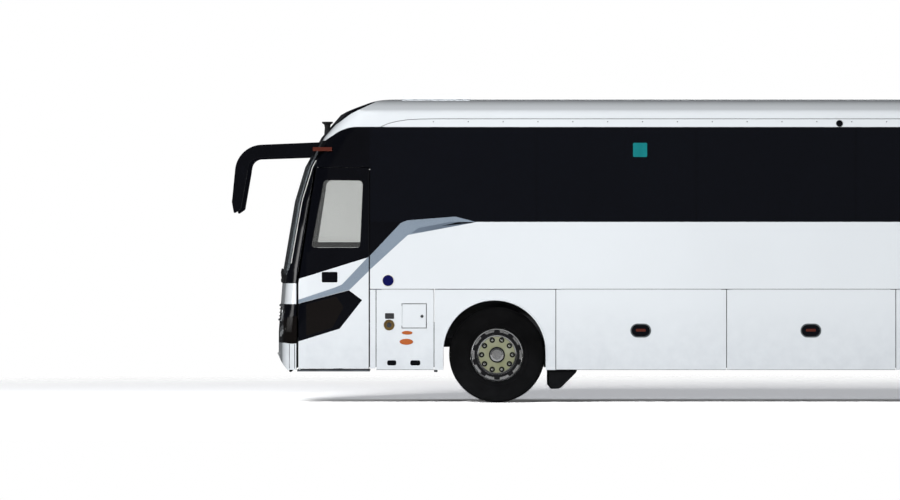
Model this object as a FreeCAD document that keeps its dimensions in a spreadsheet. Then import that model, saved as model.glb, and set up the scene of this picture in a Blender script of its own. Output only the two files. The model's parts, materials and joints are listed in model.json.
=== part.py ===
import FreeCAD, Part
import math
import os
import re
import Sketcher

# Coach bus: a twelve-metre touring coach as separate panels, doors, wheels and seats.
# Frame: +X forward, +Y to the coach's left, +Z up; the origin is on the ground, mid-length and mid-width.
# "Setback" is a distance behind the foremost point of the body.

SIZES = {
    # whole body
    "overall_length": 12000, "overall_width": 2550, "roof_height": 3320, "mirror_reach": 498,
    "keel_height": 250, "form_rise": 80, "side_lean": 43, "wall_thickness": 45, "glass_thickness": 12,
    "front_bow": 70, "front_corner": 260, "rear_bow": 40, "rear_corner": 200,
    "bumper_depth": 150, "panel_gap": 8, "seam_gap": 2, "seat_gap": 0.3, "fit_gap": 0.05,
    # roof section
    "shoulder_drop": 148, "shoulder_radius": 90, "haunch_inset": 275, "haunch_drop": 28,
    "haunch_radius": 700, "crown_rise": 10, "crown_radius": 9000, "cap_slope_drop": 477, "cap_knee_setback": 1130,
    "cap_radius": 900, "tail_drop": 190, "tail_knee": 420, "tail_radius": 500, "cap_joint_setback": 1160,
    "visor_half": 930, "visor_setback": 1040, "brow_setback": 520, "brow_drop": 463, "brow_rise": 110,
    # heights of the panel lines
    "skirt_height": 357, "door_foot": 373, "bumper_top": 560, "waist_height": 1240, "screen_foot": 1300,
    "glass_foot": 1970, "glass_drop": 315, "door_head": 2558, "gutter_drop": 217,
    # setbacks of the panel lines
    "front_door_edge": 205, "door_head_edge": 400, "front_door_rear": 1005, "post_rear": 1075,
    "service_rear": 1707, "bay_front": 3034, "bay_middle": 4895, "bay_rear": 6739,
    "engine_front": 9160, "engine_rear": 11300, "tail_panel_front": 11580,
    # window row
    "window_front": 1130, "window_pitch": 1740, "window_pillar": 90, "window_count": 6, "window_rim": 35,
    "window_corner": 50,
    # windscreen and rear screen
    "screen_inset": 155, "screen_low": 1390, "screen_drop": 520, "screen_radius": 120,
    "rear_screen_inset": 325, "rear_screen_low": 2080, "rear_screen_drop": 460,
    # running gear
    "axle_setback": 2393, "wheelbase": 6100, "tyre_radius": 522, "tyre_width": 295,
    "rim_radius": 290, "rim_width": 250, "track_inset": 179, "kingpin_inset": 100,
    "twin_inset": 185, "twin_spacing": 334, "rim_wall": 16, "disc_thickness": 20, "hub_radius": 72, "arch_radius": 560, "arch_height": 556, "arch_lead": 27,
    "housing_half": 620, "housing_plate": 15, "housing_low": 700, "front_housing_inset": 690,
    "rear_housing_inset": 730,
    "spindle_radius": 40, "kingpin_radius": 25, "eye_radius": 45, "eye_depth": 120, "ear_thickness": 24,
    "hand_holes": 10, "hand_hole_width": 62, "hand_hole_height": 46, "hand_hole_radius": 250,
    # structure
    "deck_top": 1300, "deck_thickness": 60, "rail_inner": 350, "rail_width": 80, "rail_low": 600,
    "rail_high": 800, "bay_floor": 380, "bay_floor_thickness": 30, "bulkhead": 24, "platform_top": 860,
    "platform_thickness": 40, "cab_rear": 1745, "step_edge": 300, "step_floor": 400, "step_two_setback": 1100,
    # engine bay
    "engine_block_front": 9750, "engine_block_rear": 11450, "engine_block_low": 470, "engine_block_high": 1180,
    "hatch_half": 900, "hatch_low": 640, "hatch_high": 1840, "lid_pin_setback": 10, "lid_pin_half": 250,
    "tail_lamp_inner": 985, "tail_lamp_outer": 1085, "tail_lamp_low": 900, "tail_lamp_high": 1750,
    # doors
    "driver_gap": 24, "pivot_inset": 14, "hinge_inset": 30, "pivot_radius": 10, "sill_height": 340,
    "sill_thickness": 20,
    "arm_length": 400, "arm_setback": 330, "arm_height": 1150, "arm_thickness": 40, "arm_inset": 130,
    "arm_pin_radius": 12, "arm_socket_radius": 22, "arm_column_radius": 20, "arm_ear": 60,
    # small fittings
    "tow_bore_side": 500, "tow_bore_height": 500, "tow_bore_radius": 20,
    "fuel_low": 818, "fuel_high": 1074, "fuel_front": 1361, "fuel_rear": 1619,
    "hatch_front": 1350, "hatch_rear": 2100, "hatch_width": 700, "hatch_rise": 22,
    "wheel_ring_radius": 225, "wheel_ring_tube": 16, "steering_setback": 830, "steering_height": 1560,
    "steering_side": 620, "steering_tilt": 28, "column_length": 420,
    "seat_pitch": 800, "seat_first": 2100, "seat_rows": 11, "seat_width": 900, "aisle_half": 220,
    "guard_front": 2960, "guard_low": 150,
}

# Positions that follow from the sizes above.
DERIVED = {
    "nose_x": "(overall_length - mirror_reach) / 2",
    "tail_x": "nose_x - overall_length",
    "side_y": "overall_width / 2",
    "front_axle_x": "nose_x - axle_setback",
    "rear_axle_x": "front_axle_x - wheelbase",
    "form_top": "roof_height + form_rise",
    "lean_rate": "side_lean / (form_top - keel_height)",
    "half_gap": "panel_gap / 2",
    "shoulder_height": "roof_height - shoulder_drop",
    "haunch_height": "roof_height - haunch_drop",
    "haunch_reach": "side_y - haunch_inset",
    "cap_slope_start": "roof_height - cap_slope_drop",
    "gutter_height": "roof_height - gutter_drop",
    "deck_foot": "deck_top - deck_thickness",
    "glass_head": "roof_height - glass_drop",
    "brow_height": "roof_height - brow_drop",
    "screen_half": "side_y - screen_inset",
    "screen_high": "roof_height - screen_drop",
    "rear_screen_half": "side_y - rear_screen_inset",
    "rear_screen_high": "roof_height - rear_screen_drop",
    "track_half": "side_y - track_inset",
    "kingpin_half": "track_half - kingpin_inset",
    "twin_half": "side_y - twin_inset",
    "front_housing_inner": "side_y - front_housing_inset",
    "rear_housing_inner": "side_y - rear_housing_inset",
}

doc = FreeCAD.newDocument("CoachBus")
sheet = doc.addObject("Spreadsheet::Sheet", "Sizes")
nodes = {}


def fill_sheet():
    """Write every driving size to the sheet as a plain number with its alias."""
    for row, (alias, value) in enumerate(SIZES.items(), start=1):
        sheet.set(f"A{row}", alias.replace("_", " "))
        sheet.set(f"B{row}", str(value))
        sheet.setAlias(f"B{row}", alias)
    doc.recompute()


def bound(formula):
    """Turn a formula of plain size names into an expression on the sheet."""
    def swap(match):
        word = match.group()
        if word in DERIVED:
            return "(" + bound(DERIVED[word]) + ")"
        return "Sizes." + word if word in SIZES else word
    return re.sub(r"[a-z_][a-z_0-9]*", swap, str(formula))


def number(formula):
    """The present value of a formula of size names."""
    return float(sheet.evalExpression(bound(formula)))


def bind(item, **formulas):
    """Tie properties of an object to formulas; two underscores stand for a dot."""
    for name, formula in formulas.items():
        item.setExpression(name.replace("__", "."), bound(formula))
    return item


def place(item, x=0, y=0, z=0):
    """Tie an object's position to formulas."""
    return bind(item, Placement__Base__x=x, Placement__Base__y=y, Placement__Base__z=z)


def node(label, item):
    """Name an object as one finished sub-part."""
    item.Label = label
    nodes[label] = item
    return item


def block(name, x, y, z):
    """A box between low and high formulas along each axis."""
    item = doc.addObject("Part::Box", name)
    bind(item, Length=f"({x[1]}) - ({x[0]})", Width=f"({y[1]}) - ({y[0]})", Height=f"({z[1]}) - ({z[0]})")
    return place(item, x[0], y[0], z[0])


TURNS = {"X": (0, 1, 0, 90), "Y": (1, 0, 0, -90), "Z": (0, 0, 1, 0)}


def rod(name, axis, start, radius, length):
    """A cylinder that runs along +axis from its start point."""
    item = doc.addObject("Part::Cylinder", name)
    bind(item, Radius=radius, Height=length)
    turn = TURNS[axis]
    item.Placement.Rotation = FreeCAD.Rotation(FreeCAD.Vector(*turn[:3]), turn[3])
    return place(item, *start)


def cut(name, base, *tools):
    """One object less one or more tools."""
    item = doc.addObject("Part::Cut", name)
    item.Base = base
    item.Tool = tools[0] if len(tools) == 1 else join(name + "_tools", *tools)
    return item


def join(name, *parts):
    """Several objects made one; parts that do not touch stay separate solids."""
    item = doc.addObject("Part::MultiFuse", name)
    item.Shapes = list(parts)
    return item


def together(name, *parts):
    """Several touching pieces of one node, kept as separate solids."""
    item = doc.addObject("Part::Compound", name)
    item.Links = list(parts)
    return item


def common(name, base, tool):
    """What two objects share."""
    item = doc.addObject("Part::Common", name)
    item.Base = base
    item.Tool = tool
    return item


def mirrored(name, source):
    """The same piece on the other side of the coach."""
    item = doc.addObject("Part::Mirroring", name)
    item.Source = source
    item.Normal = FreeCAD.Vector(0, 1, 0)
    return item


def side_face(height):
    """Formula for the outer face of the leaning side at a height."""
    return f"side_y - lean_rate * (({height}) - keel_height)"


# ---- sketches ------------------------------------------------------------------------------------

def add_outline(sketch, corners):
    """Close a polygon of (across, up, radius) formulas; a radius of None leaves the corner sharp."""
    count = len(corners)
    points = [FreeCAD.Vector(number(a), number(b), 0) for a, b, _ in corners]
    radii = [None if r is None else number(r) for _, _, r in corners]
    starts, ends = [], []
    for i, point in enumerate(points):
        before = (points[i - 1] - point).normalize()
        after = (points[(i + 1) % count] - point).normalize()
        reach = 0 if radii[i] is None else radii[i] / ((after - before).Length / (after + before).Length)
        ends.append(point + before * reach)
        starts.append(point + after * reach)
    lines = [sketch.addGeometry(Part.LineSegment(starts[i], ends[(i + 1) % count])) for i in range(count)]
    for i, (across, up, radius) in enumerate(corners):
        last, here = lines[i - 1], lines[i]
        if radius is None:
            sketch.addConstraint(Sketcher.Constraint("Coincident", last, 2, here, 1))
            hold = (here, 1)
        else:
            hold = (round_corner(sketch, last, here, points[i], ends[i], starts[i], radii[i], radius), 1)
        for kind, formula in (("DistanceX", across), ("DistanceY", up)):
            index = sketch.addConstraint(Sketcher.Constraint(kind, -1, 1, *hold, number(formula)))
            sketch.setExpression(f"Constraints[{index}]", bound(formula))


def round_corner(sketch, last, here, corner, start, end, size, radius):
    """Join two lines by a tangent arc and return the corner point that both lines aim at."""
    inward = (start + end - corner * 2).normalize()
    middle = corner + inward * ((start - corner).Length ** 2 + size ** 2) ** 0.5
    arc_middle = middle - inward * size
    turns_left = (corner - start).cross(end - corner).z > 0
    ends = (start, end) if turns_left else (end, start)
    arc = sketch.addGeometry(Part.Arc(ends[0], arc_middle, ends[1]))
    head, foot = (1, 2) if turns_left else (2, 1)
    point = sketch.addGeometry(Part.Point(corner), True)
    sketch.addConstraint(Sketcher.Constraint("Tangent", last, 2, arc, head))
    sketch.addConstraint(Sketcher.Constraint("Tangent", arc, foot, here, 1))
    sketch.addConstraint(Sketcher.Constraint("PointOnObject", point, 1, last))
    sketch.addConstraint(Sketcher.Constraint("PointOnObject", point, 1, here))
    index = sketch.addConstraint(Sketcher.Constraint("Radius", arc, size))
    sketch.setExpression(f"Constraints[{index}]", bound(radius))
    return point


def new_sketch(body, name, plane, offset=0):
    """A sketch on one of the body's own origin planes, moved along the plane's normal."""
    sketch = body.newObject("Sketcher::SketchObject", name)
    support = [f for f in body.Origin.OriginFeatures if f.Role == plane + "_Plane"][0]
    sketch.AttachmentSupport = (support, [""])
    sketch.MapMode = "FlatFace"
    sketch.setExpression("AttachmentOffset.Base.z", bound(offset))
    return sketch


def prism(name, plane, corners, low, high):
    """An outline padded between two positions along the axis that its plane faces."""
    body = doc.addObject("PartDesign::Body", name)
    start = f"-({high})" if plane == "XZ" else low
    sketch = new_sketch(body, name + "_outline", plane, start)
    add_outline(sketch, corners)
    pad = body.newObject("PartDesign::Pad", name + "_pad")
    pad.Profile = sketch
    bind(pad, Length=f"({high}) - ({low})")
    return body


def turned(name, corners):
    """An outline of (radius, along, rounding) revolved about the body's Y axis."""
    body = doc.addObject("PartDesign::Body", name)
    sketch = new_sketch(body, name + "_outline", "XY")
    add_outline(sketch, corners)
    turn = body.newObject("PartDesign::Revolution", name + "_turn")
    turn.Profile = sketch
    turn.ReferenceAxis = (sketch, ["V_Axis"])
    turn.Angle = 360
    return body


# ---- the body's outer form -----------------------------------------------------------------------

CORNER_CHORDS = 5

# Plan sections of the body: share of the height, setback of the nose, and how far the tail leans in.
FORM_SECTIONS = [
    # share of height, nose, tail
    (0, 0, 0),
    (0.165, 0, 0),
    (0.381, 51, 4),
    (0.619, 178, 18),
    (0.737, 290, 30),
    (0.841, 470, 50),
    (1, 900, 90),
]


def end_corners(tip, forward, bow, radius, half, inset):
    """Half of one end in plan, from the middle outwards: a shallow bow of flats, then a corner of chords."""
    flats = [(0, "half_flat"), (f"0.25 * {bow}", "quarter_flat")]
    across = {"half_flat": f"{half} - 875", "quarter_flat": f"{half} - 635"}
    row = [(f"{tip} - ({forward}) * ({drop})", across[place_across], None) for drop, place_across in flats]
    for step in range(CORNER_CHORDS + 1):
        turn = math.radians(90 * step / CORNER_CHORDS)
        deep = f"0.65 * {bow} + {radius} - ({radius} - ({inset})) * {math.cos(turn):.6f} - ({inset})"
        out = f"{half} + ({inset}) - {radius} + ({radius} - ({inset})) * {math.sin(turn):.6f}"
        row.append((f"{tip} - ({forward}) * ({deep})", out, None))
    return row


def plan_corners(height, nose, tail, inset):
    """Corners of one plan section: bowed nose and tail with rounded sides, all of straight flats."""
    half = f"({side_face(height)} - ({inset}))"
    front = end_corners(f"(nose_x - {nose} - ({inset}))", 1, "front_bow", "front_corner", half, inset)
    rear = end_corners(f"(tail_x + {tail} + ({inset}))", -1, "rear_bow", "rear_corner", half, inset)
    left = front + rear[::-1]
    right = [(along, f"-({out})", None) for along, out, _ in left[::-1]]
    return left + right


def wall_form(name, inset):
    """The walls' form: plan sections lofted from keel to roof."""
    body = doc.addObject("PartDesign::Body", name)
    sections = []
    for index, (share, nose, tail) in enumerate(FORM_SECTIONS):
        height = f"keel_height + {share} * (form_top - keel_height)"
        sketch = new_sketch(body, f"{name}_section{index}", "XY", height)
        add_outline(sketch, plan_corners(height, nose, tail, inset))
        sections.append(sketch)
    loft = body.newObject("PartDesign::AdditiveLoft", name + "_loft")
    loft.Profile = sections[0]
    loft.Sections = sections[1:]
    loft.Ruled = True
    return body


def roof_section(name, inset):
    """The cross-section: leaning sides, rounded shoulders and a low crown."""
    foot = f"({side_face('keel_height')} + seat_gap - ({inset}))"
    shoulder = f"({side_face('shoulder_height')} + seat_gap - ({inset}))"
    crown = f"roof_height + crown_rise - ({inset})"
    return prism(name, "YZ", [
        (f"-{foot}", "keel_height", None), (foot, "keel_height", None),
        (shoulder, f"shoulder_height - ({inset})", "shoulder_radius"),
        ("haunch_reach", f"haunch_height - ({inset})", f"haunch_radius - 2 * ({inset})"),
        (0, crown, "crown_radius"),
        ("-haunch_reach", f"haunch_height - ({inset})", f"haunch_radius - 2 * ({inset})"),
        (f"-{shoulder}", f"shoulder_height - ({inset})", "shoulder_radius"),
    ], "tail_x - 200", "nose_x + 200")


def roof_profile(name, inset):
    """The side profile: the front cap rises to a level roof that drops again at the tail."""
    top = f"roof_height - ({inset})"
    return prism(name, "XZ", [
        ("tail_x - 100", "keel_height", None), ("nose_x + 100", "keel_height", None),
        ("nose_x + 100", f"cap_slope_start - ({inset})", None),
        ("nose_x - cap_knee_setback", top, "cap_radius"),
        ("tail_x + tail_knee", top, "tail_radius"),
        ("tail_x - 100", f"{top} - tail_drop", None),
    ], "-side_y - 100", "side_y + 100")


def body_form(name, inset):
    """The whole body as a solid, drawn in by an inset."""
    crowned = common(name + "_crowned", wall_form(name + "_walls", inset), roof_section(name + "_section", inset))
    return common(name, crowned, roof_profile(name + "_profile", inset))


# ---- fixed panels --------------------------------------------------------------------------------

OUTER_SPAN = ("-side_y - 50", "side_y + 50")


def back(setback):
    """Formula for the position at a setback behind the nose."""
    return f"nose_x - ({setback})"


def side_block(name, front, rear, low, high):
    """A block on the left side between two setbacks and two heights."""
    return block(name, (back(rear), back(front)), ("rear_housing_inner", "side_y + 50"), (low, high))


def cab_edge(height, shift=0):
    """Formula for the slanting front edge of the cab doors at a height above the screen's foot."""
    slope = "(door_head_edge - front_door_edge) / (door_head - screen_foot)"
    return back(f"front_door_edge + ({shift}) + {slope} * (({height}) - screen_foot)")


def repeated(name, source, step, count):
    """A piece and its copies in a row along X."""
    row = [source]
    for index in range(1, count):
        copy = doc.addObject("App::Link", f"{name}{index}")
        copy.LinkedObject = source
        copy.LinkTransform = False
        row.append(place(copy, f"({step}) * {index}"))
    return row


def window_tools():
    """Openings of the left window row behind the glazing, with cut corners."""
    front, rear = back("window_front"), back("window_front + window_pitch - window_pillar")
    low, high = "glass_foot + window_rim", "glass_head - window_rim"
    turn = "window_corner"
    first = prism("window_tool", "XZ", [
        (f"{front} - {turn}", low, None), (front, f"{low} + {turn}", None),
        (front, f"{high} - {turn}", None), (f"{front} - {turn}", high, None),
        (f"{rear} + {turn}", high, None), (rear, f"{high} - {turn}", None),
        (rear, f"{low} + {turn}", None), (f"{rear} + {turn}", low, None),
    ], "rear_housing_inner", "side_y + 50")
    return join("window_tools", *repeated("window_copy", first, "-window_pitch", int(number("window_count"))))


def glazing_band():
    """The band of side glass over the window pillars, and the joints between its panes."""
    band = side_block("glass_band", "front_door_rear + half_gap", "tail_panel_front", "glass_foot", "glass_head")
    middle = "window_front + window_pitch - window_pillar / 2"
    front, rear = back(f"{middle} - half_gap"), back(f"{middle} + half_gap")
    joint = prism("glass_joint", "XZ", [
        (rear, "glass_foot - 10", None), (front, "glass_foot - 10", None),
        (front, "glass_head + 10", None), (rear, "glass_head + 10", None),
    ], "rear_housing_inner", "side_y + 50")
    joints = repeated("glass_joint_copy", joint, "-window_pitch", int(number("window_count")) - 1)
    return band, join("glass_joints", *joints)


def arch_tool(name, axle_x):
    """The wheel arch: a round top over straight sides."""
    centre = f"{axle_x} + arch_lead"
    top = rod(name + "_top", "Y", (centre, "rear_housing_inner", "arch_height"), "arch_radius", "side_y")
    foot = block(name + "_foot", (f"{centre} - arch_radius", f"{centre} + arch_radius"),
                 ("rear_housing_inner", "rear_housing_inner + side_y"), ("keel_height - 50", "arch_height"))
    return join(name, top, foot)


def side_walls(shell, windows, arches, band, glass_shell):
    """Left and right walls: window row and waist over separate door post and wheel arch panels."""
    seam = "waist_height - panel_gap"
    front = back("front_door_rear + half_gap")
    upper = prism("wall_upper", "XZ", [
        (front, "waist_height", None), (front, "glass_head", None),
        (back("cap_joint_setback"), "glass_head", None), (back("cap_joint_setback"), "gutter_height", None),
        (back("tail_panel_front"), "gutter_height", None), (back("tail_panel_front"), "waist_height", None),
    ], "rear_housing_inner", "side_y + 50")
    areas = [
        upper,
        side_block("wall_post", "front_door_rear + half_gap", "post_rear - half_gap", "door_foot", seam),
        side_block("wall_arch_front", "service_rear + half_gap", "bay_front - half_gap", "skirt_height", seam),
        side_block("wall_arch_rear", "bay_rear + half_gap", "engine_front - half_gap", "skirt_height", seam),
    ]
    skin = common("wall_left_skin", shell, join("wall_areas", *areas))
    recess = common("glass_recess", glass_shell, band)
    left = cut("wall_left", skin, windows, recess, *arches)
    node("side_wall_left", left)
    service = common("wall_service_panel", shell, side_block("wall_service_area", "post_rear + half_gap",
                     "service_rear - half_gap", "skirt_height", seam))
    node("side_wall_right", join("wall_right", mirrored("wall_left_mirror", left),
                                 mirrored("wall_service_mirror", service)))


def brow_line(shift):
    """Corners of the cab's brow in side view, from the door's rear edge forward, raised by a shift."""
    head = f"glass_head + ({shift})"
    return [
        (back("front_door_rear + half_gap"), head, None),
        (back("brow_setback + 2 * brow_rise"), head, "4 * brow_rise"),
        (back("brow_setback"), f"brow_height + ({shift})", None),
        (back("-60"), f"brow_height + ({shift})", None),
    ]


def roof_panels(shell):
    """The roof pressing, its front cap and the roof lid."""
    joint = back("cap_joint_setback")
    over = ("gutter_height", "roof_height + 50")
    lid_area = (back("hatch_rear"), back("hatch_front"))
    half = "hatch_width / 2"
    opening = block("roof_opening", (f"{lid_area[0]} + 30", f"{lid_area[1]} - 30"),
                    (f"-({half}) + 30", f"{half} - 30"), over)
    skin = common("roof_skin", shell, block("roof_area", ("tail_x + 300", joint), OUTER_SPAN, over))
    node("roof_panel", cut("roof", skin, opening))
    cap_area = prism("cap_area", "XZ", [
        (joint, "roof_height + 50", None), (joint, "glass_head + seam_gap", None), *brow_line("seam_gap"),
        (back(-60), "roof_height + 50", None),
    ], *OUTER_SPAN)
    visor_room = block("visor_room", (back("visor_setback + seam_gap"), "nose_x + 60"),
                       ("-visor_half - seam_gap", "visor_half + seam_gap"), ("brow_height - 50", "roof_height + 50"))
    node("roof_front_cap", cut("roof_cap", common("roof_cap_skin", shell, cap_area), visor_room))
    lid = prism("roof_lid_plate", "XZ", [
        (lid_area[0], "roof_height + seat_gap", None), (lid_area[1], "roof_height + seat_gap", None),
        (f"{lid_area[1]} - 12", "roof_height + hatch_rise", None),
        (f"{lid_area[0]} + 12", "roof_height + hatch_rise", None),
    ], f"-({half})", half)
    pin = rod("roof_lid_pin", "Y", (lid_area[0], f"-({half}) + 40", "roof_height + 2 * seat_gap + half_gap"),
              "half_gap", f"2 * ({half}) - 80")
    node("roof_hatch", join("roof_lid", lid, pin))


def front_end(shell, thick_shell):
    """Screen frame, front panel and bumpers, with the lamps and all fixed glass."""
    frame_area = prism("frame_area", "XZ", [
        (cab_edge("screen_foot"), "screen_foot", None), (back(-60), "screen_foot", None),
        (back(-60), "brow_height", None), (back("brow_setback"), "brow_height", None),
        (cab_edge("door_head + panel_gap"), "door_head + panel_gap", None),
    ], *OUTER_SPAN)
    strip_area = prism("strip_area", "XZ", [
        *brow_line(0)[:2], (back("brow_setback + seam_gap"), "brow_height", None),
        (cab_edge("door_head + panel_gap", "seam_gap"), "door_head + panel_gap", None),
        (back("front_door_rear + half_gap"), "door_head + panel_gap", None),
    ], *OUTER_SPAN)
    visor_area = block("visor_area", (back("visor_setback"), "nose_x + 60"), ("-visor_half", "visor_half"),
                       ("brow_height", "roof_height + 50"))
    screen_tool = prism("screen_tool", "YZ", [
        ("-screen_half", "screen_low", "screen_radius"), ("screen_half", "screen_low", "screen_radius"),
        ("screen_half - side_lean", "screen_high", "screen_radius"),
        ("side_lean - screen_half", "screen_high", "screen_radius"),
    ], back(760), "nose_x + 60")
    black_areas = join("black_areas", frame_area, strip_area, visor_area)
    node("windscreen_frame", cut("screen_frame", common("frame_skin", shell, black_areas), screen_tool))

    panel_area = block("panel_area", (back("front_door_edge"), "nose_x + 60"), OUTER_SPAN,
                       ("bumper_top", "screen_foot"))
    lamp_tool = prism("lamp_tool", "YZ", [
        (640, 700, 30), (1240, 640, 60), (1330, 700, None), (1330, 980, None), (1180, 930, 40), (700, 800, 30),
    ], back("front_door_edge + 5"), "nose_x + 60")
    lamp_tool_right = mirrored("lamp_tool_right", lamp_tool)
    front_skin = common("front_skin", shell, panel_area)
    node("front_panel", cut("front", front_skin, lamp_tool, lamp_tool_right))

    lip = prism("front_lip", "XZ", [
        (back("front_door_edge"), "bumper_top", None), (back("front_door_edge"), "skirt_height", None),
        (back(105), "skirt_height", None), (back(26), 460, 40), (back(-30), "bumper_top", None),
    ], *OUTER_SPAN)
    tail_area = block("tail_bumper_area", ("tail_x - 50", back("engine_rear + half_gap")), OUTER_SPAN,
                      ("skirt_height", "bumper_top"))
    tow_bore = rod("tow_bore", "X", (back("bumper_depth + 60"), "tow_bore_side", "tow_bore_height"),
                   "tow_bore_radius", "bumper_depth + 100")
    node("bumpers", cut("bumper_bodies", common("bumper_skins", thick_shell, join("bumper_areas", lip, tail_area)),
                        tow_bore))
    return screen_tool, lamp_tool, lamp_tool_right


def rear_end(shell):
    """The fixed tail panel around the engine lid, rear screen and tail lamps."""
    upper = block("tail_upper", ("tail_x - 50", back("tail_panel_front")), OUTER_SPAN,
                  ("waist_height", "gutter_height"))
    crown = block("tail_crown", ("tail_x - 50", "tail_x + 300"), OUTER_SPAN, ("gutter_height", "roof_height"))
    lower = block("tail_lower", ("tail_x - 50", back("engine_rear + half_gap")), OUTER_SPAN,
                  ("bumper_top", "waist_height"))
    gap = "panel_gap"
    lid_hole = block("lid_hole", ("tail_x - 50", "tail_x + 250"), (f"-hatch_half - {gap}", f"hatch_half + {gap}"),
                     (f"hatch_low - {gap}", f"hatch_high + {gap}"))
    screen_tool = prism("rear_screen_tool", "YZ", [
        ("-rear_screen_half", "rear_screen_low", "screen_radius"),
        ("rear_screen_half", "rear_screen_low", "screen_radius"),
        ("rear_screen_half", "rear_screen_high", "screen_radius"),
        ("-rear_screen_half", "rear_screen_high", "screen_radius"),
    ], "tail_x - 50", "tail_x + 250")
    lamp_left = block("tail_lamp_left", ("tail_x - 50", "tail_x + 250"), ("tail_lamp_inner", "tail_lamp_outer"),
                      ("tail_lamp_low", "tail_lamp_high"))
    lamp_right = mirrored("tail_lamp_right", lamp_left)
    skin = common("tail_skin", shell, join("tail_areas", upper, crown, lower))
    node("rear_panel", cut("tail", skin, lid_hole, screen_tool, lamp_left, lamp_right))

    tail_lid = common("lid_skin", shell, block("lid_area", ("tail_x - 50", "tail_x + 250"),
                 ("-hatch_half", "hatch_half"), ("hatch_low", "hatch_high")))
    pin = rod("lid_pin", "Y", ("tail_x + lid_pin_setback", "-lid_pin_half", "hatch_high + half_gap - seat_gap"),
              "half_gap", "2 * lid_pin_half")
    node("engine_hatch", join("lid", tail_lid, pin))
    return screen_tool, lamp_left, lamp_right


def glass_and_lamps(glass_shell, shell, band, joints, screens, lamps):
    """Fixed panes lie flush over their openings; lamp glasses fill theirs."""
    side = cut("side_panes", common("side_glass", glass_shell, band), joints)
    ends = common("end_panes", glass_shell, join("screen_tools", *screens))
    node("body_glass", join("panes", side, mirrored("side_panes_right", side), ends))
    node("lamps", common("lamp_bodies", shell, join("lamp_tools", *lamps)))


# ---- doors and flaps -----------------------------------------------------------------------------

def hinge_pin(name, front, rear, height):
    """A hinge pin along the top edge of a side flap, in the gap under the waist."""
    return rod(name, "X", (back(rear), side_face(height), f"{height} - seat_gap"), "half_gap",
               f"({rear}) - ({front})")


def side_flap(name, shell, front, rear, low="skirt_height"):
    """A top-hinged skirt flap between two setbacks, with its hinge pin."""
    skin = common(name + "_skin", shell, side_block(name + "_area", f"{front} + half_gap", f"{rear} - half_gap",
                  low, "waist_height - panel_gap"))
    pin = hinge_pin(name + "_pin", f"{front} + 60", f"{rear} - 60", "waist_height - half_gap")
    return join(name, skin, pin)


def flaps(shell):
    """Luggage and engine side flaps on both sides, and the left service flap with its fuel flap."""
    table = [
        # node stem, front, rear
        ("luggage_door_{}_front", "bay_front", "bay_middle"),
        ("luggage_door_{}_rear", "bay_middle", "bay_rear"),
        ("engine_door_{}", "engine_front", "engine_rear"),
    ]
    for stem, front, rear in table:
        left = side_flap("flap_" + front, shell, front, rear)
        node(stem.format("left"), left)
        node(stem.format("right"), mirrored("flap_right_" + front, left))
    service = side_flap("service", shell, "post_rear", "service_rear")
    hole = side_block("fuel_hole", "fuel_front - panel_gap", "fuel_rear + panel_gap", "fuel_low - panel_gap",
                      "fuel_high + panel_gap")
    node("service_flap", cut("service_body", service, hole))
    fuel = common("fuel_skin", shell, side_block("fuel_area", "fuel_front", "fuel_rear", "fuel_low", "fuel_high"))
    pin = rod("fuel_pin", "Z", (back("fuel_front - half_gap + seat_gap"), side_face("fuel_low + 20"), "fuel_low + 20"),
              "half_gap", "fuel_high - fuel_low - 40")
    node("fuel_flap", join("fuel", fuel, pin))


def cab_door_outline(front_gap):
    """Corners of a cab door in side view, drawn in from its opening by the front gap."""
    low, high = "door_foot", "door_head"
    return [
        (cab_edge("screen_foot", front_gap), low, None), (cab_edge("screen_foot", front_gap), "screen_foot", None),
        (cab_edge(high, front_gap), high, None), (back("front_door_rear - half_gap"), high, None),
        (back("front_door_rear - half_gap"), low, None),
    ]


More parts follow.
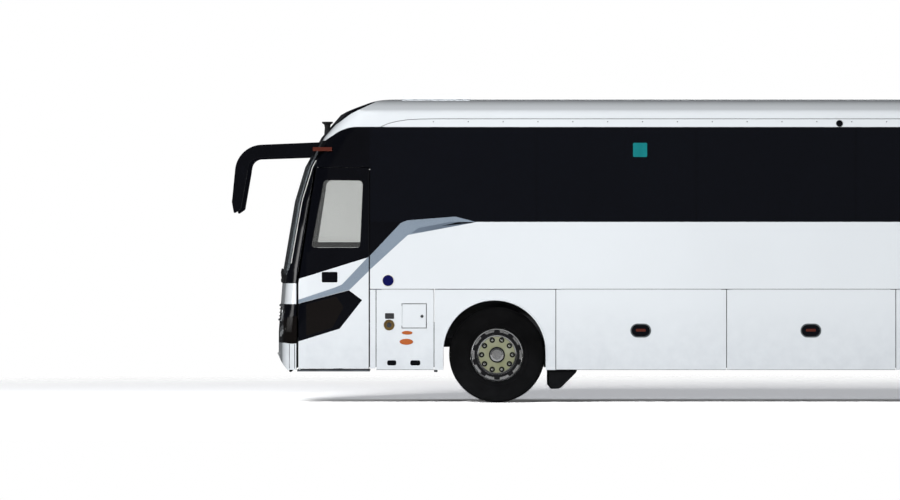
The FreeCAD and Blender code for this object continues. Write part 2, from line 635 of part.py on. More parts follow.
def cab_doors(shell, glass_shell):
    """The driver's door on the left and the passengers' door on the right, each with its pane."""
    pane = prism("cab_pane_tool", "XZ", [
        (back(368), 1690, 30), (back(508), 2426, 40), (back(932), 2420, 30), (back(900), 1690, 30),
    ], "rear_housing_inner", "side_y + 50")
    area = prism("driver_door_area", "XZ", cab_door_outline("driver_gap"), "rear_housing_inner", "side_y + 50")
    door = cut("driver_door_body", common("driver_door_skin", shell, area), pane)
    pivot = rod("driver_pivot", "Z", (*driver_hinge(), "sill_height + sill_thickness + seat_gap"),
                "pivot_radius", 40)
    node("driver_door", join("driver_door_joined", door, pivot))
    node("driver_door_glass", common("driver_pane", glass_shell, pane))

    lower = prism("passenger_pane_low", "XZ", [
        (back(330), 600, 60), (back(330), 1050, 60), (back(910), 1050, 60), (back(910), 600, 60),
    ], "rear_housing_inner", "side_y + 50")
    upper = prism("passenger_pane_high", "XZ", [
        (back(345), 1330, 60), (back(512), 2440, 60), (back(910), 2440, 60), (back(910), 1330, 60),
    ], "rear_housing_inner", "side_y + 50")
    right_pane = mirrored("passenger_pane_tool", join("passenger_panes", lower, upper))
    right_area = mirrored("passenger_area", area)
    tip = (back("arm_setback + arm_length"), "-side_y + arm_inset")
    foot = (back("arm_setback"), "-side_y + arm_inset")
    socket = rod("arm_socket", "Z", (*tip, "arm_height - arm_ear"), "arm_socket_radius",
                 "arm_thickness + 2 * arm_ear")
    lug = block("arm_lug", (f"{tip[0]} - 20", f"{tip[0]} + 20"),
                (f"-({side_face('arm_height')}) + wall_thickness - 5", tip[1]),
                ("arm_height - arm_ear", "arm_height + arm_thickness + arm_ear"))
    bore = rod("arm_socket_bore", "Z", (*tip, "arm_height - 2 * arm_ear"), "arm_pin_radius + fit_gap",
               "arm_thickness + 4 * arm_ear")
    notch = block("arm_notch", (f"{tip[0]} - 60", f"{tip[0]} + 60"), (f"{tip[1]} - 50", f"{tip[1]} + 40"),
                  ("arm_height - seat_gap", "arm_height + arm_thickness + seat_gap"))
    bracket = cut("arm_bracket", join("arm_bracket_blank", socket, lug), bore, notch)
    door_right = cut("passenger_door_body", common("passenger_door_skin", shell, right_area), right_pane)
    node("passenger_door", join("passenger_door_joined", door_right, bracket))
    node("passenger_door_glass", common("passenger_pane_glass", glass_shell, right_pane))

    bar = block("arm_bar", (tip[0], foot[0]), (f"{tip[1]} - 15", f"{tip[1]} + 15"),
                ("arm_height", "arm_height + arm_thickness"))
    pin = rod("arm_pin", "Z", (*tip, "arm_height - arm_ear + 5"), "arm_pin_radius",
              "arm_thickness + 2 * arm_ear - 10")
    column = rod("arm_column", "Z", (*foot, "step_floor + seat_gap"), "arm_column_radius",
                 "arm_height + arm_thickness - step_floor")
    node("passenger_door_arm", join("arm", bar, pin, column))


def driver_hinge():
    """Plan position of the driver's door hinge, just inside its front outer corner."""
    return (back("front_door_edge + driver_gap + pivot_inset"), "side_y - hinge_inset")


# ---- structure -----------------------------------------------------------------------------------

def floor_and_frame(inner, clear_inner):
    """The saloon floor with the wheel housings and steps, and the frame under it."""
    deck = common("deck", inner, block("deck_area", ("tail_x + 60", back("cab_rear")), OUTER_SPAN,
                  ("deck_foot", "deck_top")))
    housings, blanks = [], []
    table = [("front", "front_axle_x", "front_housing_inner"), ("rear", "rear_axle_x", "rear_housing_inner")]
    for name, axle, inner_face in table:
        ends = "housing_half + housing_plate"
        wide = block(name + "_housing", (f"{axle} - {ends}", f"{axle} + {ends}"),
                     (f"{inner_face}", "side_y - wall_thickness - side_lean"), ("housing_low", "deck_foot"))
        hollow = block(name + "_housing_hollow", (f"{axle} - housing_half", f"{axle} + housing_half"),
                       (f"{inner_face} + housing_plate", "side_y"),
                       ("housing_low - 10", "deck_top"))
        left = cut(name + "_housing_left", wide, hollow)
        housings += [left, mirrored(name + "_housing_right", left)]
        blanks += [wide, mirrored(name + "_housing_blank_right", wide)]
    platform = block("platform", (back("cab_rear"), back(260)), ("-step_edge", "side_y"),
                     ("platform_top - platform_thickness", "platform_top"))
    riser = block("riser", (back("cab_rear"), back(260)), ("-step_edge", "-step_edge + 30"),
                  ("step_floor - 30", "platform_top"))
    step = block("step_one", (back("cab_rear"), back(260)), ("-side_y", "-step_edge + 10"),
                 ("step_floor - 30", "step_floor"))
    second = block("step_two", (back("cab_rear"), back("step_two_setback")), ("-side_y", "-step_edge + 10"),
                   ("step_floor - 10", "platform_top"))
    bulkhead = block("cab_bulkhead", (back("cab_rear + 30"), back("cab_rear")), OUTER_SPAN,
                     ("step_floor", "deck_foot"))
    cab = common("cab_floor", clear_inner, join("cab_floor_blank", platform, riser, step, second, bulkhead))

    rails = []
    for name, front, rear in [("front", 300, "bay_front"), ("rear", "bay_rear", 11500)]:
        rail = block(name + "_rail_left", (back(rear), back(front)), ("rail_inner", "rail_inner + rail_width"),
                     ("rail_low", "rail_high"))
        rails += [rail, mirrored(name + "_rail_right", rail)]
    bay = block("bay_floor_plate", (back("bay_rear"), back("bay_front")), OUTER_SPAN,
                ("bay_floor", "bay_floor + bay_floor_thickness"))
    walls = []
    for name, place_back in [("front", "bay_front"), ("middle", "bay_middle"), ("rear", "bay_rear")]:
        walls.append(block(name + "_bulkhead", (back(f"{place_back} + bulkhead / 2"),
                     back(f"{place_back} - bulkhead / 2")), OUTER_SPAN, ("bay_floor", "deck_foot")))
    ties = []
    for index, setback in enumerate([380, 1500, 1700, 2950, 6760, 7700, 9200, 11440]):
        ties.append(block(f"cross_tie{index}", (back(setback + 60), back(setback)),
                          ("-rail_inner - 10", "rail_inner + 10"), ("rail_low + 20", "rail_high - 20")))
    posts = []
    for index, setback in enumerate([1900, 9300, 11300]):
        post = block(f"rail_post{index}", (back(setback + 80), back(setback)),
                     ("rail_inner", "rail_inner + rail_width"), ("rail_high - 5", "deck_foot"))
        posts += [post, mirrored(f"rail_post_right{index}", post)]
    sill = block("door_sill", (back("front_door_rear"), back("front_door_edge + 10")),
                 ("rail_inner", "side_y - 12"), ("sill_height", "sill_height + sill_thickness"))
    front_beam = block("front_beam", (back(360), back(160)), ("-rail_inner - rail_width", "side_y - 130"),
                       ("rail_low", 700))
    rear_beam = block("rear_beam", (back(11780), back(11500)), ("-side_y + 260", "side_y - 260"), (480, 540))
    rear_link = block("rear_link", (back(11510), back(11400)), ("-rail_inner", "rail_inner"), (480, "rail_low + 30"))
    sill_link = block("sill_link", (back(700), back(600)), ("rail_inner", "rail_inner + rail_width"),
                      ("sill_height", "rail_low + 10"))
    luggage = node("luggage_bay", common("luggage_bay_trimmed", clear_inner, join("luggage_bay_blank", bay, *walls)))
    frame = common("frame_trimmed", clear_inner, join("frame_blank", *rails, *ties, *posts, front_beam, rear_beam,
                   rear_link))
    whole = node("underframe", cut("frame_notched", join("frame", frame, sill, sill_link), luggage))
    cab_floor = cut("cab_floor_notched", cab, whole, luggage, *blanks)
    node("floor_deck", together("floor", deck, cab_floor, *housings))
    engine = block("engine", (back("engine_block_rear"), back("engine_block_front")), ("-rail_inner", "rail_inner"),
                   ("engine_block_low", "engine_block_high"))
    node("engine_block", cut("engine_trimmed", engine, *[t for t in ties if t.Name == "cross_tie7"], rear_link))


def dashboard(clear_inner):
    """The dashboard moulding across the driver's side, with the steering column."""
    moulding = prism("dash_blank", "XZ", [
        (back(230), "platform_top", None), (back(140), 1330, None), (back(420), 1420, 60),
        (back(700), 1330, 60), (back(640), 1180, 60), (back(480), "platform_top", None),
    ], "-step_edge - 200", "side_y - 150")
    column = steering_part("column", [
        (0, "-column_length", None), (34, "-column_length", None), (34, "-seat_gap - 12", None),
        (0, "-seat_gap - 12", None),
    ])
    node("dashboard", join("dash", common("dash_moulding", clear_inner, moulding), column))


def steering_part(name, corners):
    """A turned piece on the steering axis, which leans back towards the driver."""
    body = turned(name, corners)
    lean = math.radians(number("steering_tilt"))
    body.Placement.Rotation = FreeCAD.Rotation(FreeCAD.Vector(0, 1, 0),
                                               FreeCAD.Vector(-math.sin(lean), 0, math.cos(lean)))
    return place(body, back("steering_setback"), "steering_side", "steering_height")


def steering_wheel():
    """Rim, hub and three spokes."""
    ring = steering_part("steering_ring", [
        ("wheel_ring_radius - wheel_ring_tube", "-wheel_ring_tube", None),
        ("wheel_ring_radius + wheel_ring_tube", "-wheel_ring_tube", None),
        ("wheel_ring_radius + wheel_ring_tube", "wheel_ring_tube", None),
        ("wheel_ring_radius - wheel_ring_tube", "wheel_ring_tube", None),
    ])
    hub = steering_part("steering_hub", [(0, -12, None), (54, -12, None), (54, 14, None), (0, 14, None)])
    spokes = []
    for index in range(3):
        spoke = block(f"steering_spoke{index}", (0, 1), (0, 1), (0, 1))
        bind(spoke, Length="wheel_ring_radius", Width=30, Height=12)
        turn = FreeCAD.Rotation(FreeCAD.Vector(0, 1, 0), -number("steering_tilt"))
        spin = FreeCAD.Rotation(FreeCAD.Vector(0, 0, 1), 60 + 120 * index)
        shift = turn.multVec(spin.multVec(FreeCAD.Vector(0, -15, -6)))
        spoke.Placement.Rotation = turn * spin
        place(spoke, f"{back('steering_setback')} + {shift.x}", f"steering_side + {shift.y}",
              f"steering_height + {shift.z}")
        spokes.append(spoke)
    node("steering_wheel", join("steering", ring, hub, *spokes))


def seats():
    """The driver's seat and the passenger seat pairs, each pair one moulded cushion and back."""
    def seat_outline(front, base):
        return [
            (back(f"({front}) + 120"), base, None), (back(f"({front}) + 80"), f"{base} + 300", None),
            (back(front), f"{base} + 330", None), (back(front), f"{base} + 460", None),
            (back(f"({front}) + 400"), f"{base} + 430", None), (back(f"({front}) + 560"), f"{base} + 1100", None),
            (back(f"({front}) + 590"), f"{base} + 1130", None), (back(f"({front}) + 660"), f"{base} + 1130", None), (back(f"({front}) + 500"), f"{base} + 300", None),
            (back(f"({front}) + 440"), base, None),
        ]
    pair = prism("seat_pair", "XZ", seat_outline("seat_first", "deck_top"), "aisle_half",
                 "aisle_half + seat_width")
    row = repeated("seat_row", pair, "-seat_pitch", int(number("seat_rows")))
    left = join("seats_left", *row)
    driver = prism("driver_seat", "XZ", seat_outline("steering_setback + 130", "platform_top"),
                   "steering_side - 260", "steering_side + 260")
    node("seats", join("seats_all", left, mirrored("seats_right", left), driver))


def mirrors(outer):
    """Horn-shaped mirror arms, each with a wide head, growing from the screen's upper corners."""
    horn = [
        (back(470), 2840, None), (back("60 - mirror_reach"), 2802, 300), (back("-mirror_reach"), 2190, 60),
        (back("24 - mirror_reach"), 2060, 12), (back("98 - mirror_reach"), 2112, 30),
        (back("195 - mirror_reach"), 2668, 110), (back(400), 2692, None),
    ]
    head = [
        (back("64 - mirror_reach"), 2640, 60), (back("-mirror_reach"), 2190, 60),
        (back("24 - mirror_reach"), 2060, 12), (back("98 - mirror_reach"), 2112, 30),
        (back("176 - mirror_reach"), 2560, 60),
    ]
    arm = prism("mirror_arm", "XZ", horn, "side_y - 200", "side_y - 110")
    shell = prism("mirror_head", "XZ", head, "side_y - 270", "side_y - 30")
    left = cut("mirror_left", join("mirror_blank", arm, shell), outer)
    node("mirrors", join("mirror_pair", left, mirrored("mirror_right", left)))


def splash_guards():
    """Rubber guards behind the wheels, under the skirt."""
    front = prism("guard_front_left", "XZ", [
        (back("guard_front"), "bay_floor", None), (back("guard_front"), "guard_low", 30),
        (back("guard_front + 120"), "guard_low", 90), (back("guard_front + 305"), "skirt_height - 20", 60),
        (back("guard_front + 305"), "bay_floor", None),
    ], "front_housing_inner + 60", "side_y - 60")
    node("splash_guards", join("guards", front, mirrored("guard_front_right", front)))


# ---- running gear --------------------------------------------------------------------------------

def tyre(name, along):
    """A tyre's section turned about the axle, with the middle of its tread at a place along it."""
    half = "tyre_width / 2"
    return turned(name, [
        ("rim_radius", f"{along} - {half}", None), ("tyre_radius", f"{along} - {half}", None),
        ("tyre_radius", f"{along} + {half}", None), ("rim_radius", f"{along} + {half}", None),
    ])


def hand_hole_tool(name, low, high):
    """Hand holes round the wheel disc."""
    hole = block(name + "_hole0", (0, 1), (0, 1), (0, 1))
    holes = []
    count = int(number("hand_holes"))
    for index in range(count):
        copy = hole if index == 0 else block(f"{name}_hole{index}", (0, 1), (0, 1), (0, 1))
        turn = FreeCAD.Rotation(FreeCAD.Vector(0, 1, 0), 360 * index / count)
        bind(copy, Length="hand_hole_width", Width=f"({high}) - ({low})", Height="hand_hole_height")
        radial, across = turn.multVec(FreeCAD.Vector(0, 0, 1)), turn.multVec(FreeCAD.Vector(1, 0, 0))
        copy.Placement.Rotation = turn
        place(copy, f"{radial.x} * (hand_hole_radius - hand_hole_height / 2) - {across.x} * hand_hole_width / 2",
              low, f"{radial.z} * (hand_hole_radius - hand_hole_height / 2) - {across.z} * hand_hole_width / 2")
        holes.append(copy)
    return join(name, *holes)


def front_wheel():
    """The left front rim with its hub: a barrel closed outside by a disc with hand holes."""
    face, cap, inside = "rim_width / 2", "rim_width / 2 + 50", "rim_width / 2 - disc_thickness"
    rim = turned("front_rim", [
        (0, cap, None), ("hub_radius", cap, None), ("hub_radius", face, None),
        ("rim_radius", face, None), ("rim_radius", "-rim_width / 2", None),
        ("rim_radius - rim_wall", "-rim_width / 2", None), ("rim_radius - rim_wall", inside, None),
        ("hub_radius", inside, None), ("hub_radius", -30, None), ("spindle_radius + fit_gap", -30, None),
        ("spindle_radius + fit_gap", 104, None), (0, 104, None),
    ])
    return cut("front_rim_body", rim, hand_hole_tool("front_holes", f"{inside} - 10", f"{face} + 10"))


def rear_wheel():
    """The left rear twin rims on one hub, as one barrel about a middle disc."""
    out, disc = "twin_spacing / 2 + rim_width / 2", "disc_thickness / 2"
    rim = turned("rear_rim", [
        (0, 150, None), ("hub_radius", 150, None), ("hub_radius", disc, None), ("rim_radius - rim_wall", disc, None),
        ("rim_radius - rim_wall", out, None), ("rim_radius", out, None), ("rim_radius", f"-({out})", None),
        ("rim_radius - rim_wall", f"-({out})", None), ("rim_radius - rim_wall", f"-({disc})", None),
        ("hub_radius", f"-({disc})", None), ("hub_radius", -120, None), ("spindle_radius + fit_gap", -120, None),
        ("spindle_radius + fit_gap", 60, None), (0, 60, None),
    ])
    return cut("rear_rim_body", rim, hand_hole_tool("rear_holes", f"-({disc}) - 10", f"{disc} + 10"))


def wheels():
    """Rims and tyres at all four corners; the rear ones are twins."""
    at_front = ("front_axle_x", "track_half", "tyre_radius")
    at_rear = ("rear_axle_x", "twin_half - twin_spacing / 2", "tyre_radius")
    table = [
        # node stem, left-hand piece, place
        ("wheel_rim_front_{}", front_wheel(), at_front),
        ("tyre_front_{}", tyre("front_tyre", "0"), at_front),
        ("wheel_rim_rear_{}", rear_wheel(), at_rear),
        ("tyre_rear_{}", join("rear_tyres", tyre("rear_tyre_outer", "twin_spacing / 2"),
                              tyre("rear_tyre_inner", "-twin_spacing / 2")), at_rear),
    ]
    for stem, piece, spot in table:
        left = node(stem.format("left"), place(piece, *spot))
        node(stem.format("right"), mirrored(piece.Name + "_mirror", left))


def axles():
    """The steered front beam with kingpin eyes, the driven rear beam and the two knuckles."""
    middle = "tyre_radius"
    beam = block("front_beam_bar", ("front_axle_x - 50", "front_axle_x + 50"),
                 ("-kingpin_half + 85", "kingpin_half - 85"), (f"{middle} - 90", f"{middle} - 10"))
    riser = block("front_beam_end", ("front_axle_x - 40", "front_axle_x + 40"),
                  ("kingpin_half - 120", "kingpin_half - 10"), (f"{middle} - 60", f"{middle} + 55"))
    eye = rod("axle_eye", "Z", ("front_axle_x", "kingpin_half", f"{middle} - eye_depth / 2"), "eye_radius", "eye_depth")
    bore = rod("axle_eye_bore", "Z", ("front_axle_x", "kingpin_half", f"{middle} - eye_depth"),
               "kingpin_radius + fit_gap", "eye_depth * 2")
    pad = block("front_spring_seat", ("front_axle_x - 90", "front_axle_x + 90"), ("rail_inner", "rail_inner + 80"),
                (f"{middle} - 20", "rail_low"))
    end = join("front_beam_side", riser, eye, pad)
    front = cut("front_axle", join("front_axle_blank", beam, end, mirrored("front_beam_side_right", end)),
                bore, mirrored("axle_eye_bore_right", bore))
    spindle_end = "twin_half - twin_spacing / 2 + 58"
    case = rod("rear_case", "Y", ("rear_axle_x", "-480", middle), 75, 960)
    stub = rod("rear_spindle", "Y", ("rear_axle_x", f"-({spindle_end})", middle), "spindle_radius",
               f"2 * ({spindle_end})")
    diff = rod("differential", "Y", ("rear_axle_x", -110, middle), 200, 220)
    seat = block("rear_spring_seat", ("rear_axle_x - 90", "rear_axle_x + 90"), ("rail_inner", "rail_inner + 80"),
                 (middle, "rail_low"))
    rear = join("rear_axle", case, stub, diff, seat, mirrored("rear_spring_seat_right", seat))
    node("axle_beams", join("axles", front, rear))

    low, high = f"{middle} - eye_depth / 2", f"{middle} + eye_depth / 2"
    gap = "seat_gap"
    pin = rod("kingpin", "Z", ("front_axle_x", "kingpin_half", f"{low} - 20"), "kingpin_radius", "eye_depth + 40")
    ears = []
    for name, start in [("low", f"{low} - {gap} - ear_thickness"), ("high", f"{high} + {gap}")]:
        ears.append(block(f"ear_{name}", ("front_axle_x - 46", "front_axle_x + 46"),
                          ("kingpin_half - 46", "kingpin_half + 70"), (start, f"{start} + ear_thickness")))
    web = block("knuckle_web", ("front_axle_x - 46", "front_axle_x + 46"), ("kingpin_half + 51", "kingpin_half + 70"),
                (f"{low} - {gap} - ear_thickness", f"{high} + {gap} + ear_thickness"))
    spindle = rod("spindle", "Y", ("front_axle_x", "kingpin_half + 60", middle), "spindle_radius",
                  "track_half - kingpin_half - 60 + 100")
    left = node("steering_knuckle_left", join("knuckle", pin, *ears, web, spindle))
    node("steering_knuckle_right", mirrored("knuckle_right", left))


# ---- build ---------------------------------------------------------------------------------------

def build():
    """Make every sub-part from the driving sizes."""
    fill_sheet()
    outer = body_form("outer", 0)
    inner = body_form("inner", "wall_thickness")
    clear_inner = body_form("clear_inner", "wall_thickness + 12")
    glass_form = body_form("glass_form", "glass_thickness")
    deep_form = body_form("deep_form", "bumper_depth")
    shell = cut("shell", outer, inner)
    glass_shell = cut("glass_shell", outer, glass_form)
    thick_shell = cut("thick_shell", outer, deep_form)
    windows = window_tools()
    band, joints = glazing_band()
    arches = [arch_tool("arch_front", "front_axle_x"), arch_tool("arch_rear", "rear_axle_x")]
    side_walls(shell, windows, arches, band, glass_shell)
    roof_panels(shell)
    screen, lamp_left, lamp_right = front_end(shell, thick_shell)
    rear_screen, tail_left, tail_right = rear_end(shell)
    glass_and_lamps(glass_shell, shell, band, joints, [screen, rear_screen],
                    [lamp_left, lamp_right, tail_left, tail_right])
    flaps(shell)
    cab_doors(shell, glass_shell)
    floor_and_frame(inner, clear_inner)
    dashboard(clear_inner)
    steering_wheel()
    seats()
    mirrors(outer)
    splash_guards()
    axles()
    wheels()
    doc.recompute()


def write_parts():
    """Check every object, then write one STEP file for each sub-part."""
    for item in doc.Objects:
        if "Invalid" in item.State or "Error" in item.State:
            raise RuntimeError(f"{item.Name} did not compute: {item.State}")
    for label, item in nodes.items():
        if item.Shape.isNull() or not item.Shape.isValid():
            raise RuntimeError(f"{label} has no valid shape")
    os.makedirs("parts", exist_ok=True)
    for label, item in nodes.items():
        item.Shape.exportStep(f"parts/{label}.step")


build()
write_parts()
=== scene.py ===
import json
import math

import bpy
from mathutils import Matrix, Vector

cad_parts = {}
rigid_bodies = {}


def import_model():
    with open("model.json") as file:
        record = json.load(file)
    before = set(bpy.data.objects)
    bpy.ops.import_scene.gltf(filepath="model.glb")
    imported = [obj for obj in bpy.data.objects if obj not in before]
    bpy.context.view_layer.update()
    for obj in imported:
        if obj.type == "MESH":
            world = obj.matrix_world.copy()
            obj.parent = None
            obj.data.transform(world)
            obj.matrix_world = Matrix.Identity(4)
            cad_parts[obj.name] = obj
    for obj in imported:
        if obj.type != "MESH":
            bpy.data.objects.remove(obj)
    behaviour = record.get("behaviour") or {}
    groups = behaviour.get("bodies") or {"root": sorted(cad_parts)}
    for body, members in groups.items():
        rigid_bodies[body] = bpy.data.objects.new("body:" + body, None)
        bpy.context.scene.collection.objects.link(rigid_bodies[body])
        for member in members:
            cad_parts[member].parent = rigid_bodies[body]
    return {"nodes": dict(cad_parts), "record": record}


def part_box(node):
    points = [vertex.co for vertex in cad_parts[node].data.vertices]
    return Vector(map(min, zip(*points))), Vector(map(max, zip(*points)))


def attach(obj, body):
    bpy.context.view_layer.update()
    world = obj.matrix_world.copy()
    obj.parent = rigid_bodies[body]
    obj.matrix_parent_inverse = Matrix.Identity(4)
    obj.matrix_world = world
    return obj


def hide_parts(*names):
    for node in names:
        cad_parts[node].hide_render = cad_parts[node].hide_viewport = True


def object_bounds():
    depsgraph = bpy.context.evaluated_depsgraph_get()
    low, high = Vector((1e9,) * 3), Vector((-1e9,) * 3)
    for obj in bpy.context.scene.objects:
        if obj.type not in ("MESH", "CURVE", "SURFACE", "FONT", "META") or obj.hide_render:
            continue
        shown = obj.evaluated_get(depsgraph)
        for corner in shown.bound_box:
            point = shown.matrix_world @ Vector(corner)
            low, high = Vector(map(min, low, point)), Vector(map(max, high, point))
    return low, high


bl_info = {
    "name": "Coach Dressing",
    "version": (1, 0, 0),
    "blender": (4, 5, 0),
    "location": "View3D > Sidebar > Coach",
    "description": "Paint, glass, lamps, wheels, seats and fittings of a twelve-metre touring coach",
    "category": "Object",
}

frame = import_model()
cad_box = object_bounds()
# +X is forward, +Y the coach's left, +Z up. A setback is a distance behind the foremost point of the body.
NOSE_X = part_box("front_panel")[1][0]
GLASS_FOOT = 1.970
GLASS_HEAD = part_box("body_glass")[1][2]
LEFT, RIGHT = 1, -1
SIDES = ((LEFT, "left"), (RIGHT, "right"))
MERGE = 0.00002


# ---- sizes and colours that a user may change ----------------------------------------------------

def colour_property(name, description, default):
    """A colour swatch."""
    return bpy.props.FloatVectorProperty(name=name, description=description, default=default, subtype="COLOR",
                                         size=3, min=0, max=1)


def length_property(name, description, default):
    """A length in metres."""
    return bpy.props.FloatProperty(name=name, description=description, default=default, unit="LENGTH", min=0)


class CoachColours(bpy.types.PropertyGroup):
    """Colours of the coach."""
    body: colour_property("Body", "Main body paint", (0.75, 0.785, 0.815))
    black: colour_property("Black", "Gloss black round the screens and lamps", (0.0016, 0.0018, 0.0030))
    glass: colour_property("Side glass", "Tint of the side and rear panes", (0.0016, 0.0022, 0.0048))
    stripe: colour_property("Stripe", "Silver-blue stripe behind the cab", (0.22, 0.27, 0.33))
    # Painted shade: the lower fold of the stripe is painted in this darker colour.
    stripe_shade: colour_property("Stripe shade", "Lower fold of the stripe", (0.11, 0.14, 0.18))
    amber: colour_property("Amber", "Side lamps", (0.50, 0.13, 0.035))
    red: colour_property("Red", "Tail lamps", (0.45, 0.02, 0.02))
    sign: colour_property("Blue sign", "Blank round sign", (0.004, 0.005, 0.06))
    label: colour_property("Green label", "Blank square label on the glass", (0.005, 0.16, 0.17))
    seats: colour_property("Seats", "Seat cloth", (0.035, 0.055, 0.13))


class CoachSizes(bpy.types.PropertyGroup):
    """Sizes of the dressing."""
    tread_depth: length_property("Tread depth", "Depth of the tyres' grooves", 0.014)
    nut_circle: length_property("Nut circle", "Radius of the ring of wheel nuts", 0.1675)
    lip: length_property("Arch lip", "Thickness of the rolled lip round the arches", 0.009)
    seal: length_property("Seal", "Thickness of the drip rails and seals", 0.004)
    camera_distance: length_property("Camera distance", "From the camera to the middle of the coach", 110.0)


def colour(name):
    """A colour from the panel."""
    return tuple(getattr(bpy.context.scene.coach_colours, name))


def size(name):
    """A size from the panel."""
    return getattr(bpy.context.scene.coach_sizes, name)


# ---- modelling by hand tools ---------------------------------------------------------------------

def take(*items):
    """Select only these pieces and make the first one active."""
    for item in bpy.context.view_layer.objects:
        item.select_set(False)
    for item in items:
        item.select_set(True)
    if items:
        bpy.context.view_layer.objects.active = items[0]
        return items[0]


def edit(piece):
    """Open a piece in edit mode with all of it selected."""
    take(piece)
    bpy.ops.object.mode_set(mode="EDIT")
    bpy.ops.mesh.select_all(action="SELECT")


def close():
    """Back to object mode."""
    bpy.ops.object.mode_set(mode="OBJECT")


def settle(piece):
    """Put a piece's place, turn and size in its mesh."""
    take(piece)
    bpy.ops.object.transform_apply(location=True, rotation=True, scale=True)
    return piece


def apply(piece, kind, **settings):
    """Add a modifier and apply it."""
    take(piece)
    bpy.ops.object.modifier_add(type=kind)
    modifier = piece.modifiers[-1]
    for key, value in settings.items():
        setattr(modifier, key, value)
    bpy.ops.object.modifier_apply(modifier=modifier.name)
    return piece


def smooth(piece, degrees=35, weighted=True):
    """Smooth shading up to an angle, with flats kept flat."""
    take(piece)
    bpy.ops.object.shade_smooth_by_angle(angle=math.radians(degrees))
    if weighted:
        apply(piece, "WEIGHTED_NORMAL", keep_sharp=True)
    return piece


def joined(pieces):
    """Several pieces made one."""
    take(*pieces)
    if len(pieces) > 1:
        bpy.ops.object.join()
    return bpy.context.view_layer.objects.active


def placed(name, data):
    """A new object in the scene."""
    item = bpy.data.objects.new(name, data)
    bpy.context.scene.collection.objects.link(item)
    return item


def moved(piece, shift):
    """A piece with its mesh moved."""
    piece.data.transform(Matrix.Translation(shift))
    return piece


def turned(piece, angle, axis):
    """A piece with its mesh turned about an axis through the origin."""
    piece.data.transform(Matrix.Rotation(angle, 4, axis))
    return piece


def twin(piece, shift=(0, 0, 0)):
    """A copy with its own mesh, moved."""
    return moved(placed(piece.name + "_copy", piece.data.copy()), shift)


def turned_copy(piece, angle, axis, centre):
    """A copy with its own mesh, turned about a line."""
    copy = twin(piece)
    centre = Vector(centre)
    copy.data.transform(Matrix.Translation(centre) @ Matrix.Rotation(angle, 4, axis) @ Matrix.Translation(-centre))
    return copy


def other_side(piece):
    """A mirror image on the coach's other side, with its faces turned outwards again."""
    copy = twin(piece)
    copy.data.transform(Matrix.Scale(-1, 4, (0, 1, 0)))
    copy.data.flip_normals()
    return copy


def block(low, high, edge=0.0, segments=2):
    """A block between two corners with rounded edges."""
    take()
    centre = [(a + b) / 2 for a, b in zip(low, high)]
    bpy.ops.mesh.primitive_cube_add(size=1, location=centre)
    piece = bpy.context.object
    piece.scale = [abs(b - a) for a, b in zip(low, high)]
    settle(piece)
    if edge:
        edit(piece)
        bpy.ops.mesh.bevel(offset=edge, segments=segments, affect="EDGES")
        close()
    return piece


TURNS = {"+X": (0, 90, 0), "-X": (0, -90, 0), "+Y": (-90, 0, 0), "-Y": (90, 0, 0), "+Z": (0, 0, 0)}


def faced(piece, facing, centre):
    """Close a piece made along +Z, turn it to the way it faces, and move it to its place."""
    bpy.ops.mesh.normals_make_consistent(inside=False)
    close()
    piece.rotation_euler = [math.radians(angle) for angle in TURNS[facing]]
    piece.location = centre
    return settle(piece)


def lathe(centre, facing, rings, sides=32, stretch=(1, 1)):
    """A turned piece: a closed disc drawn out through (radius, along) rings towards the way it faces."""
    take()
    last, *rest = rings
    bpy.ops.mesh.primitive_circle_add(vertices=sides, radius=last[0], fill_type="NGON", location=(0, 0, last[1]))
    piece = settle(bpy.context.object)
    edit(piece)
    for radius, along in rest:
        bpy.ops.mesh.extrude_region_move(TRANSFORM_OT_translate={"value": (0, 0, along - last[1])})
        grow = radius / last[0]
        bpy.ops.transform.resize(value=(grow, grow, 1), center_override=(0, 0, along))
        last = (radius, along)
    bpy.ops.mesh.select_all(action="SELECT")
    piece.scale = (*stretch, 1)
    return faced(piece, facing, centre)


def ring(centre, facing, profile, sides=64):
    """A hoop: a closed (radius, along) profile swept round an axis."""
    take()
    bpy.ops.mesh.primitive_circle_add(vertices=len(profile), radius=1, fill_type="NOTHING")
    piece = bpy.context.object
    for vertex, (radius, along) in zip(piece.data.vertices, profile):
        vertex.co = (radius, 0, along)
    edit(piece)
    bpy.ops.mesh.spin(steps=sides, angle=2 * math.pi, center=(0, 0, 0), axis=(0, 0, 1))
    bpy.ops.mesh.select_all(action="SELECT")
    bpy.ops.mesh.remove_doubles(threshold=MERGE)
    return faced(piece, facing, centre)


def drawn(name, loops, closed, turn=(0, 0, 0), **settings):
    """A mesh made from a curve of straight lines through loops of points."""
    curve = bpy.data.curves.new(name, "CURVE")
    for key, value in settings.items():
        setattr(curve, key, value)
    for loop in loops:
        spline = curve.splines.new("POLY")
        spline.points.add(len(loop) - 1)
        for spot, point in zip(spline.points, loop):
            spot.co = (*point, 1)
        spline.use_cyclic_u = closed
    item = placed(name, curve)
    item.rotation_euler = [math.radians(angle) for angle in turn]
    take(item)
    bpy.ops.object.convert(target="MESH")
    return bpy.context.object


def tube(points, radius, closed=False):
    """A rod along a line through points."""
    piece = drawn("line", [points], closed, dimensions="3D", bevel_depth=radius, bevel_resolution=4,
                  use_fill_caps=not closed)
    return smooth(piece, 60, weighted=False)


def sheet_of(loops, thickness, edge=0.0):
    """A flat plate of (across, up) outlines, standing in the XZ plane with its middle on it."""
    flat = [[(across, up, 0) for across, up in loop] for loop in loops]
    piece = settle(drawn("plate", flat, True, (90, 0, 0), dimensions="2D", fill_mode="BOTH",
                         extrude=thickness / 2 - edge, bevel_depth=edge, bevel_resolution=2))
    edit(piece)
    bpy.ops.mesh.remove_doubles(threshold=MERGE)
    bpy.ops.mesh.normals_make_consistent(inside=False)
    close()
    return piece


